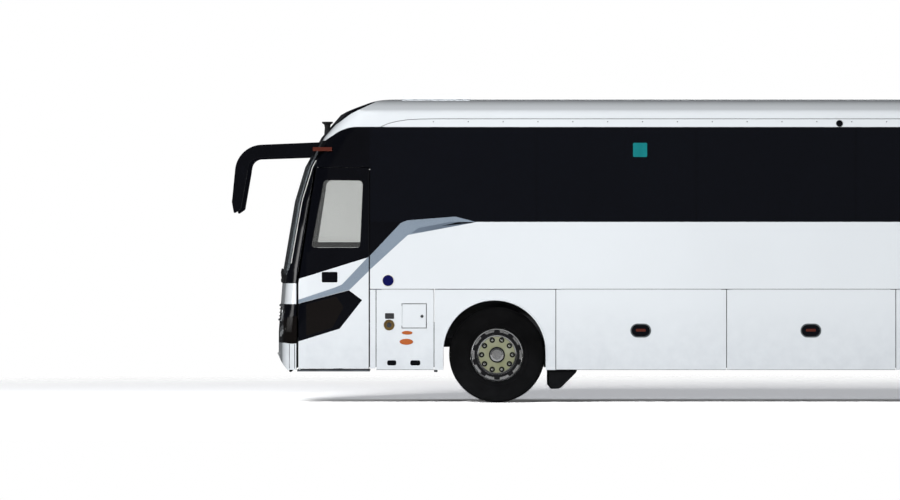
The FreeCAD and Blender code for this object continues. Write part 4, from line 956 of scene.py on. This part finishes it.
def side_handles():
    """Handles of the doors and luggage bays, and the latches of the service flap."""
    for side, name in ((LEFT, "driver_door"), (RIGHT, "passenger_door")):
        set_on_side(dish(0.168, 0.110, 0.012), 0.569, 1.368, side, name, f"{name}_handle", "black_gloss")
    for side, word in SIDES:
        for end, setback in (("front", 3.960), ("rear", 5.814)):
            body = f"luggage_{word}_{end}"
            set_on_side(dish(0.222, 0.148, 0.073), setback, 0.786, side, body, f"luggage_handle_{word}_{end}",
                        "black_gloss", "black_gloss", "handle_grey")
            pull = smooth(sheet_of([rounded(0.104, 0.024, 0.010)], 0.008, 0.003), 40)
            set_on_side(pull, setback, 0.790, side, body, f"luggage_pull_{word}_{end}", "black_gloss", "lamp_smoked")
        for index, setback in enumerate((9.60, 10.80)):
            set_on_side(dish(0.140, 0.080, 0.039), setback, 0.450, side, f"engine_door_{word}",
                        f"engine_door_latch_{word}_{index + 1}", "black_gloss")
    for index, (setback, width) in enumerate(((1.246, 0.095), (1.503, 0.106))):
        set_on_side(dish(width, 0.052, 0.018, 0.006), setback, 0.434, LEFT, "service_flap",
                    f"service_latch_{index + 1}", "black_gloss")


def window_sash():
    """Dark slide rail along the foot of the driver's window, behind the pane."""
    low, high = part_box("driver_door_glass")
    rail = block((low[0] + 0.012, high[1] - 0.034, low[2] + 0.004), (high[0] - 0.006, high[1] - 0.008, low[2] + 0.060),
                 0.004)
    hold(rail, "window_sash", "driver_door", "black_gloss", "cab_plastic")


SOCKET = [(0.059, -0.002), (0.059, 0.006), (0.052, 0.010), (0.042, 0.010), (0.040, 0.004), (0.034, 0.004),
          (0.033, 0.012), (0.028, 0.012), (0.027, 0.002)]
BORE = [(0.027, -0.002), (0.027, 0.006), (0.018, 0.006), (0.016, 0.003)]
SIDE_LAMP = [(0.5, -0.002), (0.5, 0.004), (0.46, 0.009), (0.36, 0.013), (0.2, 0.016)]
KEY = [(0.017, -0.002), (0.017, 0.004), (0.013, 0.006), (0.006, 0.005)]
SIGN = [(0.061, 0.0005), (0.061, 0.0028), (0.060, 0.003)]
SIGN_RIM = [(0.060, 0.0002), (0.060, 0.0034), (0.068, 0.0034), (0.070, 0.0002)]
ORIGIN = (0, 0, 0)


def service_point():
    """Lock, air socket, side lamps, keyhole, blank signs and jacking stubs."""
    def place(piece, setback, height, name, slot, finish_name, body="service_flap"):
        set_on_side(piece, setback, height, LEFT, body, name, slot, finish_name)

    lock = joined([sheet_of([rounded(0.095, 0.058, 0.006)], 0.010, 0.002),
                   block((-0.040, -0.008, 0.006), (0.040, -0.002, 0.020), 0.002)])
    place(smooth(lock, 40), 1.222, 0.945, "service_lock", "black_gloss", "chassis_paint")
    place(smooth(lathe(ORIGIN, "-Y", SOCKET, 40), 30), 1.217, 0.847, "air_socket", "bright_steel", "brass")
    place(smooth(lathe(ORIGIN, "-Y", BORE, 28), 30), 1.217, 0.847, "air_socket_bore", "bright_steel", "chassis_paint")
    for index, (setback, height, stretch) in enumerate(((1.414, 0.762, (0.118, 0.041)),
                                                        (1.405, 0.664, (0.148, 0.065)))):
        place(smooth(lathe(ORIGIN, "-Y", SIDE_LAMP, 36, stretch), 50), setback, height,
              f"side_lamp_amber_{index + 1}", "lamp_glass", "lamp_amber")
    place(smooth(lathe(ORIGIN, "-Y", KEY, 24), 30), 1.576, 0.942, "fuel_flap_key", "bright_steel", "chassis_paint",
          "fuel_flap")
    place(lathe(ORIGIN, "-Y", SIGN, 48), 1.206, 1.331, "blank_sign", "cab_plastic", "sign_blue", "coach")
    place(ring(ORIGIN, "-Y", SIGN_RIM, 48), 1.206, 1.331, "blank_sign_rim", "cab_plastic", "plate_white", "coach")
    place(sheet_of([rounded(0.153, 0.153, 0.012)], 0.002, 0.0005), 3.953, 2.755, "blank_label", "cab_plastic",
          "label_green", "coach")
    for end, setback, height, width, tall in (("front", 1.726, 0.348, 0.038, 0.030),
                                              ("rear", 3.058, 0.380, 0.065, 0.050)):
        x = back(setback)
        foot = block((x - width / 2, 1.20, height - tall / 2), (x + width / 2, 1.235, height + tall / 2), 0.006)
        hold(foot, f"jacking_stub_{end}", "coach", "chassis_paint")


RAIL_HEIGHT = 3.094
RAIL_FRONT = [(1.130, 3.008), (1.200, 3.040), (1.300, 3.066), (1.420, 3.084), (1.560, 3.092)]
RIVETS, RIVET_FIRST, RIVET_PITCH, RIVET_HEIGHT = 26, 1.70, 0.38, 3.062
RIVET = [(0.007, -0.001), (0.006, 0.003), (0.003, 0.004)]
SENSOR = [(0.037, -0.004), (0.036, 0.012), (0.028, 0.022), (0.014, 0.027)]


def seams_and_rails():
    """Drip rails, rivets and sensors above the windows, bumper joints, and trims beside the screen."""
    rail = RAIL_FRONT + [(setback, RAIL_HEIGHT) for setback in (1.8, 4.0, 7.0, 10.0, 11.55)]
    for side, word in SIDES:
        points = [on_side(setback, height, side, 0.001) for setback, height in rail]
        hold(tube(points, size("seal") * 0.7), f"drip_rail_{word}", "coach", "black_gloss", "seam_rubber")
        rivet = lathe(ORIGIN, "-Y", RIVET, 10)
        if side == LEFT:
            turned(rivet, math.pi, "Z")
        rivets = [twin(rivet, on_side(RIVET_FIRST + RIVET_PITCH * index, RIVET_HEIGHT, side))
                  for index in range(RIVETS)]
        bpy.data.objects.remove(rivet)
        hold(smooth(joined(rivets), 50), f"roof_rivets_{word}", "coach", "bright_steel")
        set_on_side(smooth(lathe(ORIGIN, "-Y", SENSOR, 28), 50), 6.126, 3.044, side, "coach", f"side_sensor_{word}",
                    "black_gloss")
        joints = [tube([on_side(setback, height, side) for height in (0.372, 0.46, 0.55, 0.640)], 0.0035)
                  for setback in (0.130, 0.187)]
        hold(joined(joints), f"bumper_joints_{word}", "coach", "guard_rubber", "seam_rubber")
        # A trim beside the screen in matte white: the trim is real, its white a painted reflection.
        pillar = [on_end(side * 1.135, 1.52 + 0.07 * step, 1, 0.002) for step in range(17)]
        hold(tube(pillar, 0.005), f"screen_trim_{word}", "coach", "bright_steel", "plate_white")


GRILLE_HEAD, GRILLE_FOOT, GRILLE_HALF = 1.058, 0.900, 0.95
GRILLE_BARS = (0.940, 0.979, 1.018)
HEADLAMPS = ((0.80, 0.765, 0.040), (0.93, 0.780, 0.047), (1.06, 0.795, 0.043))      # across, height and radius
WIPERS = ((0.62, -0.05), (-0.20, -0.85))    # where each arm turns and where its blade ends, across the coach
CAMERA_SETBACK, CAMERA_HEAD = 0.53, 3.078
WIPER_BOSS = [(0.028, -0.01), (0.026, 0.016), (0.018, 0.026), (0.006, 0.028)]


def grille():
    """Bright hoop and three bars across the lamp belt."""
    def run(height, count=18):
        return [on_end(GRILLE_HALF * (2 * step / count - 1), height, 1, 0.004) for step in range(count + 1)]

    tips = [on_end(side * (GRILLE_HALF + 0.045), (GRILLE_HEAD + GRILLE_FOOT) / 2, 1, 0.004) for side in (LEFT, RIGHT)]
    hoop = run(GRILLE_HEAD) + tips[:1] + list(reversed(run(GRILLE_FOOT))) + tips[1:]
    pieces = [tube(hoop, 0.013, closed=True)] + [tube(run(height), 0.007) for height in GRILLE_BARS]
    hold(joined(pieces), "front_grille", "coach", "bright_steel")


def headlamps():
    """Bright rings round three bulbs on each side."""
    for side, word in SIDES:
        rings = []
        for across, height, radius in HEADLAMPS:
            spot = on_end(side * across, height)
            rings.append(ring(spot, "+X", [(radius, -0.004), (radius, 0.006), (radius + 0.007, 0.007),
                                           (radius + 0.009, -0.004)], 36))
            rings.append(lathe(spot, "+X", [(radius * 0.8, -0.010), (radius * 0.8, 0.002), (radius * 0.55, 0.008),
                                            (radius * 0.2, 0.010)], 28))
        hold(smooth(joined(rings), 40), f"headlamp_rings_{word}", "coach", "bright_steel")


def blank_plates():
    """Number plates without text, one on the front bumper and one on the engine hatch."""
    plate = smooth(joined([sheet_of([rounded(0.54, 0.13, 0.012)], 0.008, 0.002),
                           sheet_of([rounded(0.50, 0.10, 0.008)], 0.010, 0.002)]), 40)
    for forward, name, height, body in ((1, "front", 0.475, "coach"), (-1, "rear", 1.42, "engine_hatch")):
        copy = turned(twin(plate), math.radians(90 * forward), "Z")
        place, normal = touch((forward * CLEAR_X, 0, height), (-forward, 0, 0))
        turned(copy, -math.atan2(normal.z, abs(normal.x)) * forward, "Y")
        moved(copy, place + Vector((forward * 0.002, 0, 0)))
        hold(copy, f"blank_plate_{name}", body, "cab_plastic", "plate_white")
    bpy.data.objects.remove(plate)


def wipers():
    """Two arms with blades, parked along the screen's foot."""
    for index, (pivot, tip) in enumerate(WIPERS):
        arm = [on_end(pivot, 1.335, 1, 0.012), on_end(pivot - 0.10, 1.38, 1, 0.018),
               on_end((pivot + tip) / 2, 1.42, 1, 0.018), on_end(tip + 0.16, 1.452, 1, 0.016)]
        blade = [on_end(tip + 0.56 - 0.16 * step, 1.405 + 0.008 * step, 1, 0.009) for step in range(6)]
        boss = lathe(on_end(pivot, 1.330), "+X", WIPER_BOSS, 24)
        parts = [tube(arm, 0.010), tube(blade, 0.009), smooth(boss, 40)]
        hold(joined(parts), f"wiper_{index + 1}", "coach", "black_gloss", "cab_plastic")


def front_fittings():
    """Grille, headlamps, blank plates, wipers, visor camera and under-lip."""
    grille()
    headlamps()
    blank_plates()
    wipers()
    foot, _ = touch((back(CAMERA_SETBACK), 0, CLEAR_Z), (0, 0, -1))
    rise = CAMERA_HEAD - foot.z
    stalk = [(0.036, -0.03), (0.030, rise * 0.4), (0.036, rise * 0.7), (0.060, rise * 0.86), (0.060, rise)]
    hold(smooth(lathe(foot, "+Z", stalk, 24), 40), "visor_camera", "coach", "black_gloss", "cab_plastic")
    edge = [on_end(across, 0.375, 1, -0.050) for across in (-1.13, -0.8, -0.4, 0, 0.4, 0.8, 1.13)]
    hold(tube([(x, y, 0.348) for x, y, _ in edge], 0.016), "front_under_lip", "coach", "black_gloss", "guard_rubber")


TAIL_LAMPS = (("lamp_red", 0.975), ("lamp_amber", 1.145), ("lamp_red", 1.315), ("lamp_clear", 1.485),
              ("lamp_red", 1.655))
TAIL_LAMP_Y = 1.035
SLAT_RADIUS, SLAT_LIFT = 0.010, 0.002
TAIL_LENS = [(0.040, -0.004), (0.040, 0.004), (0.034, 0.011), (0.020, 0.015), (0.008, 0.016)]
TAIL_RING = [(0.040, -0.003), (0.041, 0.007), (0.047, 0.007), (0.049, -0.003)]


def rear_fittings():
    """Tail lamps, and louvres of the engine doors and the hatch."""
    for side, word in SIDES:
        hoops = []
        for index, (finish_name, height) in enumerate(TAIL_LAMPS):
            spot = on_end(side * TAIL_LAMP_Y, height, -1)
            hold(smooth(lathe(spot, "-X", TAIL_LENS, 32), 50), f"tail_lamp_{word}_{index + 1}", "coach", "lamp_glass",
                 finish_name)
            hoops.append(ring(spot, "-X", TAIL_RING, 36))
        hold(smooth(joined(hoops), 40), f"tail_lamp_rings_{word}", "coach", "bright_steel")
        slats = [tube([on_side(setback, 0.62 + 0.058 * row, side, SLAT_LIFT) for setback in (9.35, 10.2, 11.1)],
                      SLAT_RADIUS) for row in range(9)]
        hold(joined(slats), f"engine_louvres_{word}", f"engine_door_{word}", "chassis_paint")
    slats = [tube([on_end(0.62 * (step / 4 - 1), 0.76 + 0.050 * row, -1, SLAT_LIFT) for step in range(9)],
                  SLAT_RADIUS) for row in range(10)]
    hold(joined(slats), "engine_lid_louvres", "engine_hatch", "chassis_paint")


def softened(node, width, body, slot):
    """A packed node with its sharp edges rounded."""
    piece = panel_copy(node)
    apply(piece, "BEVEL", width=width, segments=3, limit_method="ANGLE", angle_limit=math.radians(35))
    hold(smooth(piece, 40), node + "_smooth", body, slot)
    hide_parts(node)


ARM_LAMP_Y = 1.243


def mirror_heads():
    """Arms and heads with soft edges, and the slim lamp at the root of each arm."""
    softened("mirrors", 0.016, "coach", "black_gloss")
    for side, word in SIDES:
        across = side * ARM_LAMP_Y
        lamp = block((back(0.595), across - 0.004, 2.742), (back(0.385), across + 0.004, 2.785), 0.003)
        hold(lamp, f"arm_lamp_{word}", "coach", "lamp_glass", "lamp_smoked")


# ---- saloon, cab and engine ----------------------------------------------------------------------

PUFF_FRAMES, PUFF_PRESSURE, PUFF_REACH = 20, 4.0, 0.014


def puff(piece):
    """Fill a cushion by cloth pressure, hold back each point, and keep the result."""
    before = [vertex.co.copy() for vertex in piece.data.vertices]
    take(piece)
    bpy.ops.object.modifier_add(type="CLOTH")
    modifier = piece.modifiers[-1]
    modifier.settings.use_pressure = True
    modifier.settings.uniform_pressure_force = PUFF_PRESSURE
    modifier.settings.effector_weights.gravity = 0
    modifier.settings.quality = 5
    modifier.collision_settings.use_collision = False
    modifier.point_cache.frame_start = 1
    modifier.point_cache.frame_end = PUFF_FRAMES
    for step in range(PUFF_FRAMES):
        bpy.context.scene.frame_set(step + 1)
    bpy.ops.object.modifier_apply(modifier=modifier.name)
    bpy.context.scene.frame_set(1)
    for vertex, start in zip(piece.data.vertices, before):
        shift = vertex.co - start
        if shift.length > PUFF_REACH:
            vertex.co = start + shift.normalized() * PUFF_REACH


def cushion(low, high, back_rest=None):
    """A crowned cushion between two corners; a back rest is made upright, then leant and moved to its foot."""
    piece = block(low, high, 0.045, 3)
    edit(piece)
    bpy.ops.mesh.subdivide(number_cuts=3)
    close()
    apply(piece, "REMESH", mode="VOXEL", voxel_size=PAD_VOXEL)
    puff(piece)
    take(piece)
    bpy.ops.object.shade_smooth()
    if back_rest:
        moved(turned(piece, -SEAT_LEAN, "Y"), back_rest)
    return piece


SEAT_ROWS, SEAT_PITCH, SEAT_FIRST = 11, 0.8, 2.1
SEAT_WIDTH, SEAT_STEP, AISLE_HALF, SEAT_BASE = 0.440, 0.448, 0.225, 0.33
SEAT_LEAN = math.atan2(0.16, 0.67)
PAD_VOXEL = 0.022
DRIVER_SETBACK, DRIVER_ACROSS, DRIVER_FLOOR = 0.96, 0.62, 0.86


def passenger_seats():
    """Padded cushions and backs on dark frames, pair by pair."""
    deck, front, inner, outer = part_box("floor_deck")[1][2], back(SEAT_FIRST), AISLE_HALF, AISLE_HALF + SEAT_WIDTH
    base = deck + SEAT_BASE
    models = {
        "cushion": cushion((front - 0.44, inner + 0.01, base + 0.012), (front - 0.012, outer, base + 0.118)),
        "back": cushion((-0.05, inner + 0.01, 0.02), (0.05, outer, 0.70), (front - 0.47, 0, deck + 0.43)),
    }
    frame_model = joined([
        block((front - 0.42, inner + 0.30, deck), (front - 0.36, inner + 0.34, base + 0.01), 0.006),
        block((front - 0.14, inner + 0.30, deck), (front - 0.09, inner + 0.34, base + 0.01), 0.006),
        block((front - 0.44, inner + 0.30, deck + 0.002), (front - 0.06, inner + 0.36, deck + 0.03), 0.006),
        block((front - 0.45, inner + 0.02, base - 0.01), (front - 0.02, inner + 0.88, base + 0.016), 0.006),
        block((front - 0.44, inner + 0.438, base + 0.12), (front - 0.12, inner + 0.452, base + 0.128), 0.002),
    ])
    groups = {kind: [twin(model, (-SEAT_PITCH * row, SEAT_STEP * place, 0))
                     for row in range(SEAT_ROWS) for place in range(2)] for kind, model in models.items()}
    groups["frame"] = [twin(frame_model, (-SEAT_PITCH * row, 0, 0)) for row in range(SEAT_ROWS)]
    for item in (*models.values(), frame_model):
        bpy.data.objects.remove(item)
    for kind, group in groups.items():
        left = joined(group)
        for piece, word in ((left, "left"), (other_side(left), "right")):
            hold(piece, f"seat_{kind}s_{word}", "coach", "seat_fabric" if kind in models else "cab_plastic")
            if kind in models:
                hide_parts("seats")


def driver_seat():
    """The driver's padded seat on its plinth."""
    x, y, z = back(DRIVER_SETBACK), DRIVER_ACROSS, DRIVER_FLOOR
    pads = joined([
        cushion((x - 0.45, y - 0.25, z + 0.34), (x - 0.02, y + 0.25, z + 0.45)),
        cushion((-0.05, y - 0.24, 0.02), (0.05, y + 0.24, 0.66), (x - 0.48, 0, z + 0.45)),
    ])
    hold(pads, "driver_seat_pads", "coach", "seat_fabric")
    plinth = joined([
        block((x - 0.40, y - 0.20, z), (x - 0.08, y + 0.20, z + 0.20), 0.02),
        block((x - 0.44, y - 0.23, z + 0.26), (x - 0.04, y + 0.23, z + 0.345), 0.02),
    ])
    hold(plinth, "driver_seat_base", "coach", "cab_plastic")


def dress_cab():
    """Dashboard, steering wheel and door arm with softened edges."""
    softened("dashboard", 0.012, "coach", "cab_plastic")
    softened("steering_wheel", 0.006, "steering_wheel", "cab_plastic")
    softened("passenger_door_arm", 0.004, "passenger_arm", "bright_steel")


ROCKERS, ROCKER_MARGIN = 6, 0.15
PULLEYS = ((0.0, 0.66, 0.13), (0.17, 0.90, 0.08), (-0.16, 0.88, 0.09))      # across, height and radius


def dress_engine():
    """Rocker covers and belt pulleys on the engine block."""
    low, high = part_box("engine_block")
    parts = []
    pitch = (high[0] - low[0] - 2 * ROCKER_MARGIN) / ROCKERS
    for index in range(ROCKERS):
        x = low[0] + ROCKER_MARGIN + pitch * index
        parts.append(block((x + 0.02, -0.14, high[2] - 0.004), (x + pitch - 0.02, 0.14, high[2] + 0.030), 0.012))
    for across, height, radius in PULLEYS:
        pulley = [(radius, -0.004), (radius, 0.012), (radius * 0.9, 0.020), (radius * 0.9, 0.030), (radius, 0.038),
                  (radius, 0.050), (radius * 0.3, 0.052)]
        parts.append(lathe((low[0], across, height), "-X", pulley, 36))
    hold(smooth(joined(parts), 40), "engine_fittings", "coach", "engine_iron")


# ---- stage ---------------------------------------------------------------------------------------

def make_world():
    """Even white room light, seen as pure white."""
    world = bpy.data.worlds.new("studio")
    bpy.context.scene.world = world
    world.use_nodes = True
    tree = world.node_tree
    room = tree.nodes["Background"]
    fill(room, {"Color": (0.90, 0.93, 1.0, 1)})
    way, split = add(tree, "TexCoord"), add(tree, "SeparateXYZ")
    rise = add(tree, "MapRange", {"From Max": 0.9, "To Min": 0.03, "To Max": 0.12})
    white, mix = add(tree, "Background", {"Color": (1, 1, 1, 1)}), add(tree, "MixShader")
    path, seen = add(tree, "LightPath"), add(tree, "Math", operation="MAXIMUM")
    wire(tree, (way, "Generated", split, "Vector"), (split, "Z", rise, "Value"), (rise, "Result", room, "Strength"),
         (path, "Is Camera Ray", seen, 0), (path, "Is Transmission Ray", seen, 1), (seen, "Value", mix, "Fac"),
         (room, "Background", mix, 1), (white, "Background", mix, 2),
         (mix, "Shader", tree.nodes["World Output"], "Surface"))


FLOOR_RADIUS, FADE_START, FADE_END, FLOOR_GAIN = 60, 10.0, 24.0, 3.05


def make_floor():
    """A pale floor that fades into the white room."""
    take()
    bpy.ops.mesh.primitive_circle_add(vertices=96, radius=FLOOR_RADIUS, fill_type="NGON", location=(0, 0, -0.001))
    floor = settle(bpy.context.object)
    floor.name = "studio_floor"
    material, tree, shader = new_material("studio_floor", {"Base Color": (0.60, 0.61, 0.62, 1), "Roughness": 0.95})
    place, length = add(tree, "TexCoord"), add(tree, "VectorMath", operation="LENGTH")
    fade = add(tree, "MapRange", {"From Min": FADE_START, "From Max": FADE_END, "To Min": 1.0, "To Max": 0.0},
               interpolation_type="SMOOTHSTEP")
    bright = add(tree, "BsdfDiffuse", {"Color": (FLOOR_GAIN, FLOOR_GAIN, FLOOR_GAIN, 1)})
    clear, path = add(tree, "BsdfTransparent"), add(tree, "LightPath")
    veil, mix = add(tree, "MixShader"), add(tree, "MixShader")
    wire(tree, (place, "Object", length, 0), (length, "Value", fade, "Value"), (fade, "Result", shader, "Alpha"),
         (fade, "Result", veil, "Fac"), (clear, "BSDF", veil, 1), (bright, "BSDF", veil, 2),
         (path, "Is Camera Ray", mix, "Fac"), (shader, "BSDF", mix, 1), (veil, "Shader", mix, 2),
         (mix, "Shader", tree.nodes["Material Output"], "Surface"))
    floor.data.materials.append(material)


# Name, watts, width, height, place, aim and spread in degrees.
LAMPS = (
    ("key", 10600, 9, 9, (12, 30, 11), (0, 0, 1.4), 180),
    ("card", 380, 60, 14, (0, 70, 7), (0, 0, 7), 180),
    ("top", 70, 12, 1.2, (-0.5, 0, 8), (-0.5, 0, 1), 10),
    ("front", 1700, 9, 7, (38, 5, 7), (5, 0, 1.6), 180),
    ("back", 9500, 30, 5, (-34, -50, 6.5), (-2, 0, 1.8), 180),
)
MIRRORED_LAMPS = ("front", "top", "card")


def make_lamps():
    """A broad key on the left, a card for reflections, a narrow top lamp, a front lamp and a far back lamp."""
    for name, energy, wide, tall, spot, aim, spread in LAMPS:
        light = bpy.data.lights.new(name, "AREA")
        light.energy = energy
        light.shape = "RECTANGLE"
        light.size, light.size_y = wide, tall
        light.spread = math.radians(spread)
        item = placed(name, light)
        item.location = spot
        item.rotation_euler = (Vector(aim) - Vector(spot)).to_track_quat("-Z", "Y").to_euler()
        item.visible_glossy = name in MIRRORED_LAMPS
        item.visible_camera = False
        item.visible_transmission = False


VIEW_ALONG, VIEW_SIDE, VIEW_HEIGHT, VIEW_SPAN = 3.870, 1.245, 1.664, 9.81


def make_camera():
    """Square on to the left side, at mid-height of the coach, framing its front part."""
    distance = size("camera_distance")
    eye = bpy.data.cameras.new("eye")
    eye.sensor_width = 36
    eye.lens = eye.sensor_width * distance / VIEW_SPAN
    eye.clip_end = 1000
    camera = placed("eye", eye)
    camera.location = (VIEW_ALONG, VIEW_SIDE + distance, VIEW_HEIGHT)
    camera.rotation_euler = (math.radians(90), 0, math.radians(180))
    bpy.context.scene.camera = camera


# ---- operators and panel -------------------------------------------------------------------------

def coach_operator(number, label, text, *steps):
    """An operator that makes one group of pieces."""
    def execute(self, context):
        for step in steps:
            step()
        return {"FINISHED"}

    name = "COACH_OT_" + number
    return type(name, (bpy.types.Operator,), {
        "bl_idname": "coach." + number, "bl_label": label, "__doc__": text, "execute": execute,
    })


OPERATORS = [
    coach_operator("stage", "Stage", "Room, floor, lamps and camera", make_world, make_floor, make_lamps, make_camera),
    coach_operator("finishes", "Finishes", "Every paint, glass, rubber and cloth", make_finishes, dress_nodes),
    coach_operator("panels", "Panels", "Painted panels and fixed glass", dress_panels),
    coach_operator("wheels", "Wheels", "Tyres, rims and wheel faces", dress_wheels),
    coach_operator("arches", "Arch lips", "Rolled lips round the wheel arches", arch_lips),
    coach_operator("handles", "Handles", "Door, luggage and latch handles", side_handles, window_sash),
    coach_operator("service", "Service point", "Socket, lock, lamps and blank signs", service_point),
    coach_operator("seams", "Seams and rails", "Drip rails, rivets and trims", seams_and_rails),
    coach_operator("front", "Front", "Grille, lamps, wipers and plates", front_fittings),
    coach_operator("rear", "Rear", "Tail lamps and louvres", rear_fittings),
    coach_operator("mirrors", "Mirrors", "Mirror arms, heads and lamps", mirror_heads),
    coach_operator("seats", "Seats", "Padded seats on their frames", passenger_seats, driver_seat),
    coach_operator("cab", "Cab", "Dashboard, steering wheel and door arm", dress_cab),
    coach_operator("engine", "Engine", "Covers and pulleys on the block", dress_engine),
]


class COACH_PT_sidebar(bpy.types.Panel):
    """Lists the steps and the values that a user may change."""
    bl_label = "Coach"
    bl_space_type = "VIEW_3D"
    bl_region_type = "UI"
    bl_category = "Coach"

    def draw(self, context):
        for kind in OPERATORS:
            self.layout.operator(kind.bl_idname)
        for group in (context.scene.coach_colours, context.scene.coach_sizes):
            for name in group.__annotations__:
                self.layout.prop(group, name)


def register():
    """Register the classes and the scene's values."""
    for kind in (CoachColours, CoachSizes, *OPERATORS, COACH_PT_sidebar):
        bpy.utils.register_class(kind)
    bpy.types.Scene.coach_colours = bpy.props.PointerProperty(type=CoachColours)
    bpy.types.Scene.coach_sizes = bpy.props.PointerProperty(type=CoachSizes)


def unregister():
    """Take the classes and values away again."""
    del bpy.types.Scene.coach_colours
    del bpy.types.Scene.coach_sizes
    for kind in (COACH_PT_sidebar, *OPERATORS, CoachSizes, CoachColours):
        bpy.utils.unregister_class(kind)


def main():
    """Run every step in order and write the object's size before and after."""
    bpy.context.scene.view_settings.view_transform = "Standard"
    register()
    for kind in OPERATORS:
        group, name = kind.bl_idname.split(".")
        getattr(getattr(bpy.ops, group), name)()


if __name__ == "__main__":
    main()
